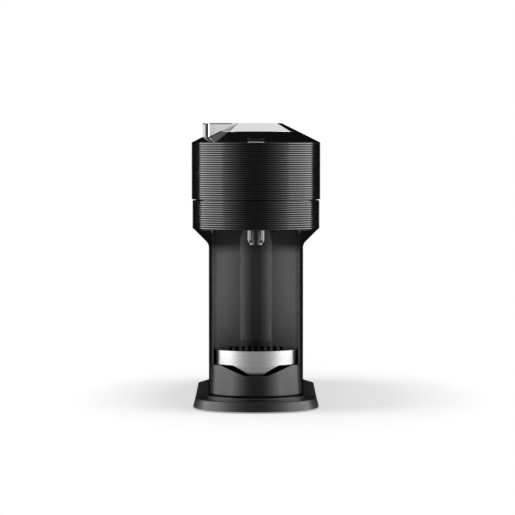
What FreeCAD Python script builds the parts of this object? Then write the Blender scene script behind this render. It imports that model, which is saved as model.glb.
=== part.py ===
import FreeCAD, Part
import math
import os

# A pod coffee machine: ribbed round head on a U-shaped column, with its works behind it.
# Sizes are millimetres. x is left to right, v runs back from the head's axis, z is up.

# Overall plan
DRUM_R = 71.0
BODY_INSET = 19.0
TANK_STRAIGHT_LEN = 53.0
TANK_GAP = 1.0

# Clearances
RUN_GAP = 0.3
SEAT_GAP = 0.2
PIN_GAP = 0.05

# Moulded walls
HOUSING_WALL = 2.4
COLUMN_WALL = 2.2
LINER_WALL = 2.0
DRUM_WALL = 2.5
TANK_WALL = 2.4
TRAY_WALL = 2.2

# Feet, base plate and base collar
FOOT_R = 7.0
FOOT_H = 1.2
FOOT_FRONT_INSET = 14.0
FOOT_REAR_INSET = 18.0
FOOT_REAR_REACH = 12.0
PLATE_T = 3.0
BASE_INSET = 1.4
CREASE_INSET = 2.4
CREASE_Z = 10.5
COLLAR_TOP_INSET = 6.0
COLLAR_TOP_Z = 27.3
COLLAR_RISE = 3.6
COLLAR_WALL = 3.0
WING_REACH = 8.0
LEDGE_LIP_W = 2.0
LEDGE_LIP_ROUND = 0.8
FRONT_STEP_Z = 11.0
FRONT_STEP_T = 2.5
PLATFORM_Z = 14.6
PLATFORM_T = 2.5
PLATFORM_WALL_INSET = 12.0

# Column and cup niche
NICHE_CHEEK = 5.5
COLUMN_BACK_V = 14.0
FLARE_STEP = 1.6
FLARE_TOP_Z = 197.5
FLARE_BEND_R = 10.0
FLARE_LEAN_DEG = 45.0
FLARE_WALL = 2.5

# Drip base and cup support
DRIP_GAP = 0.7
DRIP_TOP_Z = 49.2
DRIP_DIP_DROP = 10.5
DRIP_DIP_HALF = 12.0
DRIP_DIP_INSET = 8.0
DRIP_EDGE_R = 3.0
SUPPORT_UP = 13.8
SUPPORT_RIM = 5.0
SUPPORT_FLOOR_T = 3.0
GRID_T = 2.5
GRID_SLOT_W = 3.0
GRID_SLOT_PITCH = 7.0
GRID_SLOTS_PER_SIDE = 4
GRID_BORDER = 7.0
BAND_INSET = 4.5
BAND_T = 1.2
BAND_END_INSET = 2.5
BAND_UP = 0.8
TONGUE_INSET = 18.5
TONGUE_TIP_HALF = 6.1
TONGUE_SAG = 1.2
TONGUE_LEAN = 2.2

# Ribbed drum
RIB_PITCH = 2.4
RIB_DEPTH = 0.5
RIB_GROOVE = 0.9
RIB_SLOPE = 0.3
LOWER_RIBS = 13
UPPER_RIBS = 26
SPLIT_GAP = 1.2
LOWER_DRUM_STEP = 0.9
DRUM_SEAT_GAP = 0.5

# Brewing bowl in the lower drum
COLLECTOR_R = 44.0
COLLECTOR_WALL = 2.0
COLLECTOR_H = 24.0
COLLECTOR_EDGE_UP = 6.0
DRAIN_R = 6.2
DRAIN_BORE_R = 4.6
DRAIN_DROP = 8.0
BUSH_R = 5.5
BUSH_UP = 11.0
BUSH_H = 4.5
SPOKE_W = 1.6
SPOKE_REACH = 20.0
SPOKES = 3
HOLDER_AXLE_R = 3.0
HOLDER_RIM_R = 28.5
HOLDER_RIM_UP = 28.5
HOLDER_RIM_T = 2.5
HOLDER_RIM_INNER_R = 26.0
HOLDER_WAIST_R = 24.0
HOLDER_WAIST_UP = 18.0
HOLDER_FLOOR_R = 12.0
HOLDER_WALL = 2.0
SPOUT_R = 9.3
SPOUT_TIP_R = 6.9
SPOUT_DROP = 15.4
SPOUT_TIP_DROP = 2.6
SPOUT_FLANGE_R = 13.0
SPOUT_FLANGE_T = 2.5
SPOUT_ROUND = 2.5
READER_INSET = 8.0
READER_W = 9.0
READER_D = 7.0
READER_UP = 23.0

# Ejector fork
EJECT_RING_R = 29.4
EJECT_RING_W = 3.6
EJECT_UP = 25.0
EJECT_T = 2.4
EJECT_PIVOT_INSET = 17.1
EJECT_ARM_X = 34.0
EJECT_ARM_W = 3.0
EJECT_EYE_R = 3.6
EJECT_PIN_R = 1.5
EJECT_EAR_W = 3.0
EJECT_EAR_D = 8.0

# Main hinge
HINGE_REACH = 6.0
HINGE_UP = 5.6
KNUCKLE_R = 6.5
HINGE_PIN_R = 2.5
HINGE_INSET = 16.4
HINGE_CHEEK_W = 3.6
HINGE_LUG_W = 5.7
HINGE_SIDE_GAP = 0.3
BRACKET_GAP = 1.0
BRACKET_REACH = 11.0
BRIDGE_DROP = 8.0
BRACKET_DROP = 24.0

# Lid
FRAME_UP = 1.6
FRAME_T = 3.0
LEDGE_W = 4.0
LEDGE_H = 3.0
SKIRT_GAP = 0.7
SKIRT_T = 2.0
SKIRT_DROP = 3.5
CAP_SLOPE = 0.5
CAP_WALL = 2.4
HUB_SEAT_GAP = 0.3
HUB_SEAT_UP = 10.6
HUB_BORE_INSET = 12.0
INJECTOR_R = 27.0
INJECTOR_DROP = 3.2
INJECTOR_T = 2.7
INJECTOR_HOLE_R = 31.0
NEEDLE_R = 1.5
NEEDLE_LEN = 8.0
SPIKE_R = 0.9
SPIKE_LEN = 2.6
SPIKE_CIRCLE_R = 23.0
SPIKES = 10
SHAFT_R = 5.0
SHAFT_BORE_R = 2.0
SHAFT_UP = 52.0
BEARING_R = 9.0
BEARING_H = 6.0
BEARING_LOW_UP = 6.0
BEARING_HIGH_UP = 44.0
ROTOR_R = 20.0
ROTOR_UP = 18.0
ROTOR_H = 20.0
AIR_GAP = 0.6
STATOR_R = 30.0
STATOR_UP = 16.0
STATOR_H = 24.0
STATOR_SLOTS = 12
STATOR_SLOT_W = 4.0
STATOR_SLOT_D = 5.0
MOTOR_WALL = 2.5
MOTOR_UP = 52.6
FEED_R = 6.0
FEED_UP = 7.4
FEED_TUBE_R = 1.8
FEED_TUBE_LEN = 8.0
HOSE_R = 2.5
HOSE_BORE_R = 1.5
HOSE_BEND_R = 9.0
LID_HOSE_UP = 5.3
LID_HOSE_INSET = 8.0
LID_HOSE_AZIMUTH = 48.0
NIPPLE_H = 10.0

# Locking lever and lock
HUB_INSET = 24.0
HUB_EDGE_UP = 1.4
HUB_TOP_INSET = 15.0
HUB_TOP_UP = 10.5
HUB_SHOULDER_UP = 8.8
HUB_SHOULDER_W = 3.0
HUB_LIFT = 0.4
HUB_WALL = 3.2
TRIM_T = 1.2
TRIM_INNER_INSET = 8.0
TRIM_START_DEG = 212.0
TRIM_SWEEP_DEG = 111.0
FIN_FORWARD_DEG = 23.0
FIN_REACH = 14.3
FIN_ROOT_INSET = 6.0
FIN_ROOT_HALF = 13.0
FIN_TIP_HALF = 9.5
FIN_TIP_BULGE = 1.8
FIN_LIFT = 0.6
FIN_GROOVE_INSET = 4.2
FIN_GROOVE_W = 2.6
FIN_GROOVE_D = 1.0
SPIDER_DROP = 9.8
SPIDER_T = 2.4
SPIDER_INSET = 6.0
SPIDER_TUBE_GAP = 0.7
SPIDER_TUBE_WALL = 5.8
ARM_W = 8.0
ARM_T = 4.0
ARM_AZIMUTHS = (-110.0, -20.0, 160.0)
CLAW_AZIMUTHS = (-90.0, 0.0, 180.0)
LOCK_TURN_DEG = 40.0
LOCK_RING_GAP = 0.8
LOCK_RING_T = 3.0
LOCK_RING_LIFT = 0.4
LOCK_LUG_GAP = 0.5
LOCK_LUG_DEG = 14.0
CLAW_INSET = 7.1
CLAW_POST_T = 2.4
CLAW_HOOK_REACH = 3.2
CLAW_W = 8.0
CLAW_HOOK_UP = 4.0
CLAW_HOOK_T = 2.6
CLAW_FOOT_UP = 7.0
CLAW_SLOT_GAP = 2.5

# Brew button on the cap's slope
BUTTON_INSET = 9.0
BUTTON_HALF_W = 8.05
BUTTON_HALF_H = 4.4
BUTTON_PROUD = 0.6
BUTTON_DEPTH = 3.0
BUTTON_STEM_R = 2.0
BUTTON_STEM_END = 8.0
LENS_W = 0.9
LENS_PROUD = 0.25
BUTTON_SPRING_R = 3.6
BUTTON_SPRING_GAP = 0.3
BOARD_HALF_W = 12.0
BOARD_HALF_H = 5.0
BOARD_DEPTH = 10.0
BOARD_T = 1.5
BOARD_POST_W = 2.0

# Rear body
HOUSING_STEP_GAP = 1.5
HOUSING_BACK_GAP = 5.0
DECK_T = 2.4
TOP_ROUND = 2.0
DECK_FRONT_GAP = 2.0
DECK_MOUTH_REACH = 2.0
DECK_BACK_REACH = 1.5
CHUTE_INSET = 2.6
CHUTE_WALL = 2.0
CHUTE_START_GAP = 0.5
CHUTE_UP = 11.8
CHUTE_RUN = 79.4
CHUTE_FALL = 38.8
CHUTE_SIDE_H = 15.0
CHASSIS_WALL_GAP = 3.0
CHASSIS_WALL_T = 3.0
CHASSIS_INSET = 6.0
CHASSIS_FLOOR_T = 2.0
BAY_WALL_INSET = 2.0
SHELF_Z = 58.0
SHELF_T = 3.0
CONTAINER_GAP = 3.5
CONTAINER_LEN = 93.5
CONTAINER_INSET = 3.4
CONTAINER_WALL = 2.0
CONTAINER_DROP = 8.0
MOUTH_DROP = 1.0
MOUTH_MARGIN = 3.0
COVER_UP = 2.0
COVER_ROUND = 1.0
GRIP_HALF = 26.0
GRIP_DEPTH = 20.0

# Water tank, its lid, valve and socket
TANK_INSET = 0.5
TANK_SEAT_GAP = 2.0
TANK_TOP_DROP = 2.0
TANK_LID_T = 4.0
TANK_LID_ROUND = 1.8
TANK_LID_SKIRT = 5.0
TANK_HINGE_INSET = 8.0
TANK_HINGE_HALF = 14.0
TANK_PIN_R = 1.2
PLINTH_TOP_Z = 60.0
PLINTH_TOP_T = 3.0
VALVE_SETBACK = 25.0
VALVE_NECK_R = 9.0
VALVE_NECK_BORE_R = 6.5
VALVE_NECK_LEN = 10.0
VALVE_STEM_R = 2.0
VALVE_HEAD_R = 5.5
VALVE_HEAD_T = 2.0
VALVE_SEAT_BORE_R = 4.2
VALVE_SEAT_T = 2.0
VALVE_SPRING_R = 4.4
SOCKET_R = 13.0
SOCKET_BORE_R = 10.6
SOCKET_DEPTH = 14.0
SOCKET_FLOOR_T = 2.5
SOCKET_POST_R = 1.6
SEAL_T = 2.0
SOCKET_NIPPLE_R = 3.2
SOCKET_NIPPLE_LEN = 8.0

# Water path below
PUMP_X = -16.0
PUMP_DROP = 12.0
PUMP_R = 12.0
PUMP_SETBACK = 24.0
PUMP_LEN = 61.0
PUMP_CORE_HALF = 19.0
PUMP_NOSE_LEN = 13.0
PUMP_CORE_LEN = 30.0
PUMP_PORT_R = 3.0
PUMP_PORT_LEN = 6.0
MOUNT_R = 17.0
MOUNT_W = 7.0
MOUNT_FRONT_INSET = 3.0
MOUNT_BACK_GAP = 5.0
MOUNT_FOOT_HALF = 12.0
METER_SETBACK = 40.0
METER_R = 15.0
METER_H = 16.0
METER_PORT_LEN = 5.0
HEATER_INSET = 18.0
HEATER_SETBACK = 11.0
HEATER_DEPTH = 38.0
HEATER_BOTTOM_Z = 96.0
HEATER_H = 56.0
HEATER_ROUND = 6.0
HEATER_PORT_LEN = 7.0
HEATER_PORT_INSET = 12.0
HEATER_LUG_HALF = 8.0
HEATER_LUG_H = 6.0
BOARD_INSET = 10.0
BOARD_SETBACK = 11.0
BOARD_LEN = 72.0
BOARD_BOTTOM_Z = 40.0
BOARD_H = 50.0
PCB_T = 1.6
STANDOFF_R = 2.5
STANDOFF_INSET = 6.0
RELAY_W = 14.0
RELAY_H = 18.0
RELAY_T = 9.0
GLAND_X = 26.0
GLAND_Z = 16.0
GLAND_R = 6.5
GLAND_BORE_R = 3.8
GLAND_FLANGE_R = 8.0
GLAND_FLANGE_T = 1.5
GLAND_LEN = 9.0

# Screws
SCREW_R = 1.6
SCREW_HEAD_R = 3.2
SCREW_HEAD_T = 2.0
SCREW_LEN = 9.0

# Places worked out from the sizes above
BODY_HALF = DRUM_R - BODY_INSET
LOWER_DRUM_R = DRUM_R - LOWER_DRUM_STEP
FLARE_TOP_R = LOWER_DRUM_R - FLARE_STEP
BASE_R = DRUM_R - BASE_INSET
CREASE_R = BASE_R - CREASE_INSET
COLLAR_TOP_R = BASE_R - COLLAR_TOP_INSET
PLATFORM_WALL_R = BODY_HALF - PLATFORM_WALL_INSET
NICHE_HALF = BODY_HALF - NICHE_CHEEK
BAND_R = BODY_HALF - BAND_INSET
BAND_HALF = NICHE_HALF - BAND_END_INSET
DRIP_DIP_OUTER = NICHE_HALF - DRIP_DIP_INSET
TONGUE_TOP_HALF = BAND_HALF - TONGUE_INSET
FOOT_FRONT_X = BODY_HALF - FOOT_FRONT_INSET
FOOT_FRONT_V = -FOOT_FRONT_X
FOOT_REAR_X = BODY_HALF - FOOT_REAR_INSET
CHASSIS_HALF = BODY_HALF - CHASSIS_INSET
CHASSIS_WALL_V = BODY_HALF + CHASSIS_WALL_GAP
HEATER_HALF = CHASSIS_HALF - HEATER_INSET
HEATER_PORT_X = HEATER_HALF - HEATER_PORT_INSET
CONTAINER_HALF = BODY_HALF - CONTAINER_INSET
HINGE_INNER_X = BODY_HALF - HINGE_INSET
CHUTE_HALF = HINGE_INNER_X - CHUTE_INSET
CONTAINER_MOUTH_HALF = CHUTE_HALF + MOUTH_MARGIN
BOARD_X = CHASSIS_HALF - BOARD_INSET
HINGE_V = DRUM_R + HINGE_REACH
BRACKET_FRONT_V = DRUM_R + BRACKET_GAP
BRACKET_BACK_V = HINGE_V + BRACKET_REACH
HOUSING_STEP_V = DRUM_R + HOUSING_STEP_GAP
DECK_FRONT_V = BRACKET_BACK_V + DECK_FRONT_GAP
DECK_MOUTH_V = HINGE_V + DECK_MOUTH_REACH
CHUTE_START_V = LOWER_DRUM_R + CHUTE_START_GAP
CHUTE_END_V = CHUTE_START_V + CHUTE_RUN
BAY_WALL_V = CHUTE_END_V - BAY_WALL_INSET
DECK_BACK_V = CHUTE_END_V + DECK_BACK_REACH
CONTAINER_FRONT_V = CHUTE_END_V + CONTAINER_GAP
CONTAINER_BACK_V = CONTAINER_FRONT_V + CONTAINER_LEN
HOUSING_BACK_V = CONTAINER_BACK_V + HOUSING_BACK_GAP
TANK_FRONT_V = HOUSING_BACK_V + TANK_GAP
TANK_CENTRE_V = TANK_FRONT_V + TANK_STRAIGHT_LEN
VALVE_V = TANK_FRONT_V + VALVE_SETBACK
FOOT_REAR_V = TANK_CENTRE_V + FOOT_REAR_REACH
PUMP_FRONT_V = CHASSIS_WALL_V + PUMP_SETBACK
PUMP_BACK_V = PUMP_FRONT_V + PUMP_LEN
PUMP_CORE_FRONT_V = PUMP_FRONT_V + PUMP_NOSE_LEN
PUMP_CORE_BACK_V = PUMP_CORE_FRONT_V + PUMP_CORE_LEN
MOUNT_FRONT_V = PUMP_FRONT_V + MOUNT_FRONT_INSET
MOUNT_BACK_V = PUMP_CORE_BACK_V + MOUNT_BACK_GAP
METER_V = PUMP_BACK_V + METER_SETBACK
HEATER_FRONT_V = CHASSIS_WALL_V + HEATER_SETBACK
HEATER_BACK_V = HEATER_FRONT_V + HEATER_DEPTH
BOARD_FRONT_V = CHASSIS_WALL_V + BOARD_SETBACK
BOARD_BACK_V = BOARD_FRONT_V + BOARD_LEN
LOWER_DRUM_Z = FLARE_TOP_Z + DRUM_SEAT_GAP
COLLECTOR_TOP_Z = LOWER_DRUM_Z + COLLECTOR_H
COLLECTOR_EDGE_Z = LOWER_DRUM_Z + COLLECTOR_EDGE_UP
DRAIN_TIP_Z = LOWER_DRUM_Z - DRAIN_DROP
BUSH_TOP_Z = LOWER_DRUM_Z + BUSH_UP
HOLDER_RIM_Z = LOWER_DRUM_Z + HOLDER_RIM_UP
HOLDER_WAIST_Z = LOWER_DRUM_Z + HOLDER_WAIST_UP
SPOUT_BOTTOM_Z = LOWER_DRUM_Z - SPOUT_DROP
SPOUT_TIP_Z = SPOUT_BOTTOM_Z - SPOUT_TIP_DROP
READER_TOP_Z = LOWER_DRUM_Z + READER_UP
EJECT_Z = LOWER_DRUM_Z + EJECT_UP
CLAW_FOOT_Z = LOWER_DRUM_Z + CLAW_FOOT_UP
CHUTE_START_Z = LOWER_DRUM_Z + CHUTE_UP
CHUTE_END_Z = CHUTE_START_Z - CHUTE_FALL
CONTAINER_MOUTH_Z = CHUTE_END_Z - MOUTH_DROP
LOWER_DRUM_TOP_Z = LOWER_DRUM_Z + LOWER_RIBS * RIB_PITCH
LID_Z = LOWER_DRUM_TOP_Z + SPLIT_GAP
LID_TOP_Z = LID_Z + UPPER_RIBS * RIB_PITCH
LID_IN_R = DRUM_R - RIB_DEPTH - DRUM_WALL
LOWER_IN_R = LOWER_DRUM_R - RIB_DEPTH - DRUM_WALL
HINGE_Z = LID_Z + HINGE_UP
HOUSING_TOP_Z = HINGE_Z
BRACKET_BRIDGE_Z = HINGE_Z - BRIDGE_DROP
BRACKET_BOTTOM_Z = HINGE_Z - BRACKET_DROP
FRAME_Z = LID_Z + FRAME_UP
FRAME_TOP_Z = FRAME_Z + FRAME_T
CLAW_HOOK_Z = FRAME_TOP_Z + CLAW_HOOK_UP
INJECTOR_Z = FRAME_Z - INJECTOR_DROP
SHAFT_TOP_Z = FRAME_Z + SHAFT_UP
BEARING_LOW_Z = FRAME_Z + BEARING_LOW_UP
BEARING_HIGH_Z = FRAME_Z + BEARING_HIGH_UP
ROTOR_Z = FRAME_Z + ROTOR_UP
STATOR_Z = FRAME_Z + STATOR_UP
MOTOR_TOP_Z = FRAME_Z + MOTOR_UP
FEED_TOP_Z = MOTOR_TOP_Z + FEED_UP
LID_HOSE_Z = MOTOR_TOP_Z + LID_HOSE_UP
HUB_SEAT_Z = LID_TOP_Z + HUB_SEAT_UP
HUB_EDGE_Z = HUB_SEAT_Z + HUB_EDGE_UP
HUB_SHOULDER_Z = HUB_SEAT_Z + HUB_SHOULDER_UP
HUB_TOP_Z = HUB_SEAT_Z + HUB_TOP_UP
SPIDER_Z = HUB_SEAT_Z - SPIDER_DROP
EJECT_PIVOT_V = LOWER_IN_R - EJECT_PIVOT_INSET
CLAW_POST_R = LOWER_IN_R - CLAW_INSET
CLAW_HOOK_R = CLAW_POST_R - CLAW_HOOK_REACH
LOCK_LUG_R = CLAW_POST_R - LOCK_LUG_GAP
LOCK_RING_R = CLAW_HOOK_R - LOCK_RING_GAP
SPIDER_R = LOCK_RING_R - SPIDER_INSET
ARM_INNER_R = SPIDER_R - ARM_T
LID_HOSE_REACH = LID_IN_R - LID_HOSE_INSET
HUB_R = DRUM_R - HUB_INSET
HUB_SEAT_R = HUB_R + HUB_SEAT_GAP
HUB_TOP_R = HUB_R - HUB_TOP_INSET
HUB_SHOULDER_R = HUB_TOP_R - HUB_SHOULDER_W
HUB_BORE_R = HUB_TOP_R - HUB_BORE_INSET
TRIM_INNER_R = HUB_TOP_R - TRIM_INNER_INSET
SPIDER_TUBE_R = HUB_BORE_R - SPIDER_TUBE_GAP
SPIDER_TUBE_BORE_R = SPIDER_TUBE_R - SPIDER_TUBE_WALL
FIN_TIP_X = HUB_R + FIN_REACH
FIN_ROOT_X = HUB_TOP_R - FIN_ROOT_INSET
FIN_GROOVE_X = FIN_TIP_X - FIN_GROOVE_INSET
CONTAINER_TOP_Z = HOUSING_TOP_Z - CONTAINER_DROP
COVER_TOP_Z = HOUSING_TOP_Z + COVER_UP
TANK_TOP_Z = HOUSING_TOP_Z - TANK_TOP_DROP
TANK_BOTTOM_Z = PLINTH_TOP_Z + TANK_SEAT_GAP
VALVE_NECK_Z = TANK_BOTTOM_Z - VALVE_NECK_LEN
SOCKET_FLOOR_Z = PLINTH_TOP_Z - SOCKET_DEPTH
SOCKET_NIPPLE_Z = SOCKET_FLOOR_Z - SOCKET_NIPPLE_LEN
PUMP_Z = SOCKET_FLOOR_Z - PUMP_DROP
DRIP_DIP_Z = DRIP_TOP_Z - DRIP_DIP_DROP
BAND_BOTTOM_Z = DRIP_TOP_Z + BAND_UP
SUPPORT_TOP_Z = DRIP_TOP_Z + SUPPORT_UP
HEATER_TOP_Z = HEATER_BOTTOM_Z + HEATER_H
BOARD_TOP_Z = BOARD_BOTTOM_Z + BOARD_H
TANK_HINGE_V = TANK_CENTRE_V + BODY_HALF - TANK_HINGE_INSET
BUTTON_RADIUS_V = BUTTON_INSET - DRUM_R
READER_V = READER_INSET - COLLECTOR_R
REAR_V = TANK_CENTRE_V + BODY_HALF
HEAD_Y = -(REAR_V - DRUM_R) / 2.0
PLATE_TOP_Z = FOOT_H + PLATE_T
COLLECTOR_DRAIN_Z = LOWER_DRUM_Z + DRUM_WALL + SEAT_GAP
HINGE_LUG_X = HINGE_INNER_X + HINGE_CHEEK_W + HINGE_SIDE_GAP
HINGE_OUTER_X = HINGE_LUG_X + HINGE_LUG_W + HINGE_SIDE_GAP
HINGE_END_X = HINGE_OUTER_X + HINGE_CHEEK_W
CAP_ANGLE = math.degrees(math.atan(CAP_SLOPE))
DECK_TOP_Z = HOUSING_TOP_Z + DECK_T
CHASSIS_FLOOR_Z = PLATE_TOP_Z
CHASSIS_FLOOR_TOP_Z = CHASSIS_FLOOR_Z + CHASSIS_FLOOR_T
TANK_R = BODY_HALF - TANK_INSET
DRIP_HALF = NICHE_HALF - DRIP_GAP
PLATFORM_R = BODY_HALF - COLUMN_WALL - SEAT_GAP
DRIP_BOTTOM_Z = PLATFORM_Z + RUN_GAP


def point(x, v, z):
    """A point in the head's own frame."""
    return FreeCAD.Vector(x, v, z)


def box(x0, x1, v0, v1, z0, z1):
    """A block between two corners."""
    return Part.makeBox(x1 - x0, v1 - v0, z1 - z0, point(x0, v0, z0))


def post(r, z0, z1, x=0.0, v=0.0):
    """An upright cylinder."""
    return Part.makeCylinder(r, z1 - z0, point(x, v, z0))


def ring(inner, outer, z0, z1, x=0.0, v=0.0):
    """An upright tube."""
    return post(outer, z0, z1, x, v).cut(post(inner, z0, z1, x, v))


def rod(r, start, end):
    """A cylinder from one point to another."""
    run = end.sub(start)
    return Part.makeCylinder(r, run.Length, start, run)


def cross_rod(r, x0, x1, v, z):
    """A cylinder lying along x."""
    return rod(r, point(x0, v, z), point(x1, v, z))


def mirrored(shape):
    """The same piece on the other side of the middle plane."""
    return shape.mirror(point(0, 0, 0), point(1, 0, 0))


def fuse(shapes):
    """One solid from several that meet."""
    return shapes[0].multiFuse(shapes[1:]).removeSplitter()


def group(shapes):
    """Separate solids that share a node."""
    return Part.makeCompound(shapes)


def rounded(shape, radius, picks):
    """The piece with those edges rounded whose boxes picks accepts."""
    return shape.makeFillet(radius, [edge for edge in shape.Edges if picks(edge.BoundBox)])


def spin(shape, degrees):
    """A copy turned about the head's axis."""
    moved = shape.copy()
    moved.rotate(point(0, 0, 0), point(0, 0, 1), degrees)
    return moved


def polar(radius, degrees, z):
    """A point at a radius and an azimuth about the head's axis."""
    angle = math.radians(degrees)
    return point(radius * math.cos(angle), radius * math.sin(angle), z)


def turned(profile, degrees=360.0):
    """A solid of revolution about the head's axis from (radius, z) corners."""
    corners = [point(r, 0, z) for r, z in profile]
    face = Part.Face(Part.makePolygon(corners + corners[:1]))
    return face.revolve(point(0, 0, 0), point(0, 0, 1), degrees)


def side_profile(corners, x0, x1):
    """A prism along x from (v, z) corners."""
    points = [point(x0, v, z) for v, z in corners]
    face = Part.Face(Part.makePolygon(points + points[:1]))
    return face.extrude(point(x1 - x0, 0, 0))


def front_profile(corners, v0, v1):
    """A prism along v from (x, z) corners."""
    points = [point(x, v0, z) for x, z in corners]
    face = Part.Face(Part.makePolygon(points + points[:1]))
    return face.extrude(point(0, v1 - v0, 0))


def stadium(half, v0, v_centre, z0, z1):
    """A block with a half-round rear end."""
    end = post(half, z0, z1, 0, v_centre).common(box(-half, half, v_centre, v_centre + half, z0, z1))
    return fuse([box(-half, half, v0, v_centre, z0, z1), end])


def niche_block(half, front_v, z0, z1):
    """The U-shaped space of the cup niche: round at the rear, straight to the front."""
    return fuse([box(-half, half, front_v, 0, z0, z1), post(half, z0, z1)])


def column_block(half, back_v, z0, z1):
    """The column's outline: round at the front, straight to the rear."""
    return fuse([box(-half, half, 0, back_v, z0, z1), post(half, z0, z1)])


def rib_points(radius, z0, count):
    """The outline of a ribbed wall from its foot to its top."""
    corners = []
    for index in range(count):
        z = z0 + index * RIB_PITCH
        corners.append((radius - RIB_DEPTH, z))
        corners.append((radius - RIB_DEPTH, z + RIB_GROOVE / 2.0))
        corners.append((radius, z + RIB_GROOVE / 2.0 + RIB_SLOPE))
        corners.append((radius, z + RIB_PITCH - RIB_GROOVE / 2.0 - RIB_SLOPE))
        corners.append((radius - RIB_DEPTH, z + RIB_PITCH - RIB_GROOVE / 2.0))
    corners.append((radius - RIB_DEPTH, z0 + count * RIB_PITCH))
    return corners


def cone_z(radius):
    """Height of the cap's slope at a radius."""
    return LID_TOP_Z + (DRUM_R - radius) * CAP_SLOPE


def hose(points, outer=HOSE_R, bore=HOSE_BORE_R, bend=HOSE_BEND_R):
    """A tube along straight runs joined by tangent arcs."""
    edges = []
    start = points[0]
    for index in range(1, len(points) - 1):
        corner = points[index]
        inward = points[index - 1].sub(corner).normalize()
        outward = points[index + 1].sub(corner).normalize()
        half = inward.getAngle(outward) / 2.0
        setback = bend / math.tan(half)
        first = corner.add(inward * setback)
        last = corner.add(outward * setback)
        middle_way = inward.add(outward).normalize()
        centre = corner.add(middle_way * (bend / math.sin(half)))
        middle = centre.sub(middle_way * bend)
        edges.append(Part.LineSegment(start, first).toShape())
        edges.append(Part.Arc(first, middle, last).toShape())
        start = last
    edges.append(Part.LineSegment(start, points[-1]).toShape())
    path = Part.Wire(edges)
    way = points[1].sub(points[0])
    skins = []
    for radius in (outer, bore):
        circle = Part.Wire(Part.makeCircle(radius, points[0], way))
        skins.append(path.makePipeShell([circle], True, False))
    return skins[0].cut(skins[1])


def screw(x, v, head_z, way):
    """A screw whose head seats at head_z; way is 1 where its shank points up."""
    head_end = head_z - way * SCREW_HEAD_T
    shank_end = head_z + way * SCREW_LEN
    head = post(SCREW_HEAD_R, min(head_z, head_end), max(head_z, head_end), x, v)
    shank = post(SCREW_R, min(head_z, shank_end), max(head_z, shank_end), x, v)
    return fuse([head, shank])


def foot_places():
    """Where the four feet stand."""
    places = []
    for side in (-1, 1):
        places.append((side * FOOT_FRONT_X, FOOT_FRONT_V))
        places.append((side * FOOT_REAR_X, FOOT_REAR_V))
    return places


def base_screw_places():
    """Where screws hold the chassis to the base plate."""
    inset = CHASSIS_HALF - 2.0 * SCREW_HEAD_R
    front = CHASSIS_WALL_V + CHASSIS_WALL_T + 2.0 * SCREW_HEAD_R
    back = HOUSING_BACK_V - HOUSING_WALL - 3.0 * SCREW_HEAD_R
    return [(side * inset, v) for side in (-1, 1) for v in (front, back)]


# Base

def rubber_feet():
    """Four round feet under the base plate."""
    return group([post(FOOT_R, 0, FOOT_H, x, v) for x, v in foot_places()])


def base_plate():
    """The floor of the machine, with the platform that the drip base slides on."""
    lean = (BASE_R - CREASE_R) / (CREASE_Z - FOOT_H)
    inner_r = BASE_R - COLLAR_WALL - lean * PLATE_T - SEAT_GAP
    half = BODY_HALF - HOUSING_WALL - SEAT_GAP
    plate = fuse([post(inner_r, FOOT_H, PLATE_TOP_Z),
                  stadium(half, 0, TANK_CENTRE_V, FOOT_H, PLATE_TOP_Z)])
    top = post(PLATFORM_R, PLATFORM_Z - PLATFORM_T, PLATFORM_Z)
    wall = ring(PLATFORM_WALL_R - PLATFORM_T, PLATFORM_WALL_R, PLATE_TOP_Z, PLATFORM_Z - PLATFORM_T)
    shape = fuse([plate, wall, top])
    slot = box(half, BODY_HALF + SEAT_GAP, COLUMN_BACK_V, DRUM_R, FOOT_H, PLATE_TOP_Z)
    shape = shape.cut(slot).cut(mirrored(slot))
    shape = shape.cut(box(-PLATFORM_R, PLATFORM_R, CHASSIS_WALL_V - RUN_GAP, DRUM_R, PLATE_TOP_Z, PLATFORM_Z))
    for x, v in base_screw_places():
        shape = shape.cut(post(SCREW_R, FOOT_H, PLATE_TOP_Z, x, v))
        shape = shape.cut(post(SCREW_HEAD_R, FOOT_H, FOOT_H + SCREW_HEAD_T, x, v))
    return shape


def base_screws():
    """Screws up through the base plate into the chassis."""
    head_z = FOOT_H + SCREW_HEAD_T
    return group([screw(x, v, head_z, 1) for x, v in base_screw_places()])


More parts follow.
